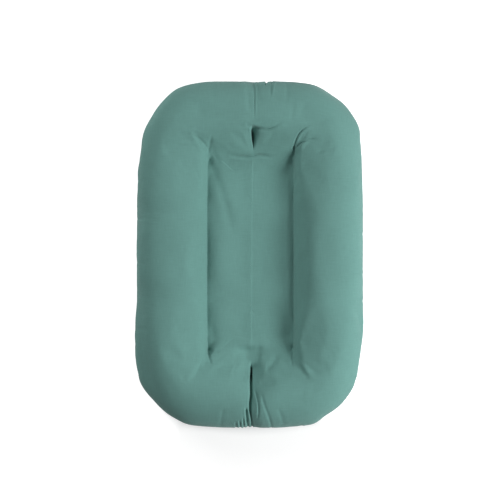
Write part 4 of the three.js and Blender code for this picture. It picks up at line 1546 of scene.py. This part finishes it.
def seen(tree):
    """1 for what is seen directly, in a mirror or through glass."""
    path = add(tree, "ShaderNodeLightPath")
    shown = arithmetic(tree, "MAXIMUM", path.outputs["Is Camera Ray"], path.outputs["Is Glossy Ray"])
    return arithmetic(tree, "MAXIMUM", shown, path.outputs["Is Transmission Ray"])


def eased_range(tree, value, start, end, low, high):
    """From low to high as a value goes from its start to its end."""
    values = {"Value": value, "From Min": start, "From Max": end, "To Min": low, "To Max": high}
    return add(tree, "ShaderNodeMapRange", values, interpolation_type="SMOOTHSTEP").outputs["Result"]


def floor_lift_and_painted_shadow(tree):
    """The light that the floor adds where it is seen: the most of the three lifts. It is painted light over
    the real shadow beside the lounger, and a painted shadow in front of the foot.
    """
    parts = add(tree, "ShaderNodeSeparateXYZ", {"Vector": on_piece(tree)})
    x, y = parts.outputs["X"], parts.outputs["Y"]
    curve = arithmetic(tree, "MULTIPLY", arithmetic(tree, "MULTIPLY", x, x), FOOT_PAINTED_SHADOW_CURVE)
    # In front of the foot the lift is weakest at the edge: a painted shadow
    front = eased_range(tree, arithmetic(tree, "SUBTRACT", curve, y), *FOOT_PAINTED_SHADOW_LIFT)
    # To the sides and towards the head the lift whitens the real shadow: painted light
    side = eased_range(tree, arithmetic(tree, "ABSOLUTE", x, 0), *SIDE_LIFT_OVER_SHADOW)
    most = arithmetic(tree, "MAXIMUM", front, side)
    most = arithmetic(tree, "MAXIMUM", most, eased_range(tree, y, *HEAD_LIFT_OVER_SHADOW))
    return arithmetic(tree, "MULTIPLY", seen(tree), most)


def make_floor(colours):
    """A pale floor just below the lounger, which takes its shadow. The light it adds where it is seen
    whitens that shadow with painted light, but in front of the foot, where a painted shadow deepens it.
    """
    bm = bmesh.new()
    bmesh.ops.create_grid(bm, x_segments=1, y_segments=1, size=6)
    bmesh.ops.translate(bm, verts=bm.verts, vec=(0, 0, -0.6 * MM))
    floor = finish_bmesh(bm, "studio_floor")
    material, tree, shader = new_material("studio_floor_paper_painted_shadow", tuple(colours.floor), 0.9)
    shader.inputs["Specular IOR Level"].default_value = 0
    lift = add(tree, "ShaderNodeEmission", {"Color": (1, 1, 1, 1), "Strength": floor_lift_and_painted_shadow(tree)})
    both = add(tree, "ShaderNodeAddShader", {0: shader.outputs[0], 1: lift.outputs[0]})
    tree.links.new(both.outputs[0], tree.nodes["Material Output"].inputs["Surface"])
    floor.data.materials.append(material)


def make_world():
    """A soft grey sky for the light, and white where it is seen."""
    world = bpy.data.worlds.new("studio_sky")
    bpy.context.scene.world = world
    world.use_nodes = True
    tree = world.node_tree
    sky = tree.nodes["Background"]
    sky.inputs["Color"].default_value = SKY
    white = add(tree, "ShaderNodeBackground", {"Color": (1, 1, 1, 1), "Strength": 1.0})
    both = add(tree, "ShaderNodeMixShader", {0: seen(tree), 1: sky.outputs[0], 2: white.outputs[0]})
    tree.links.new(both.outputs[0], tree.nodes["World Output"].inputs["Surface"])


def make_lamp(name, place, size, power):
    """A round softbox that looks at the lounger."""
    lamp = bpy.data.lights.new(name, "AREA")
    lamp.shape, lamp.size, lamp.energy = "DISK", size, power
    made = link(lamp, name)
    made.location = place
    made.rotation_mode = "QUATERNION"
    made.rotation_quaternion = (Vector(AIM) - Vector(place)).to_track_quat("-Z", "Y")


def make_camera():
    """Straight above, at the height that gives the photograph's scale at the rim's girth."""
    camera = bpy.data.cameras.new("studio_camera")
    camera.lens, camera.sensor_width = 85, 36
    made = link(camera, "studio_camera")
    girth = bpy.context.scene.lounger_sizes.girth_height
    height = PICTURE * PIXEL * camera.lens / camera.sensor_width + girth
    made.location = (0, (MIDDLE[1] - PICTURE / 2) * PIXEL, height)
    camera.clip_start, camera.clip_end = 0.1, 20
    bpy.context.scene.camera = made


class LOUNGER_PT_panel(bpy.types.Panel):
    """The lounger's sizes, colours and pieces"""

    bl_label = "Infant lounger"
    bl_idname = "LOUNGER_PT_panel"
    bl_space_type = "VIEW_3D"
    bl_region_type = "UI"
    bl_category = "Lounger"

    def draw(self, context):
        for name in GROUPS:
            group, box = getattr(context.scene, name), self.layout.box()
            for key in group.__annotations__:
                box.prop(group, key)
        for operator in OPERATORS:
            self.layout.operator(operator.bl_idname)


OPERATORS = (
    LOUNGER_OT_stage,
    LOUNGER_OT_cover_top,
    LOUNGER_OT_cover_base,
    LOUNGER_OT_casing,
    LOUNGER_OT_filling,
    LOUNGER_OT_tufts,
    LOUNGER_OT_zip_cloth,
    LOUNGER_OT_zip_teeth,
    LOUNGER_OT_zip_metal,
)
GROUPS = {"lounger_sizes": LoungerSizes, "lounger_zip": ZipSizes, "lounger_colours": LoungerColours}
CLASSES = (*GROUPS.values(), *OPERATORS, LOUNGER_PT_panel)


def register():
    for made in CLASSES:
        bpy.utils.register_class(made)
    for name, group in GROUPS.items():
        setattr(bpy.types.Scene, name, PointerProperty(type=group))


def unregister():
    for name in GROUPS:
        delattr(bpy.types.Scene, name)
    for made in reversed(CLASSES):
        bpy.utils.unregister_class(made)


def main():
    register()
    for operator in OPERATORS:
        family, name = operator.bl_idname.split(".")
        getattr(getattr(bpy.ops, family), name)()


if __name__ == "__main__":
    main()
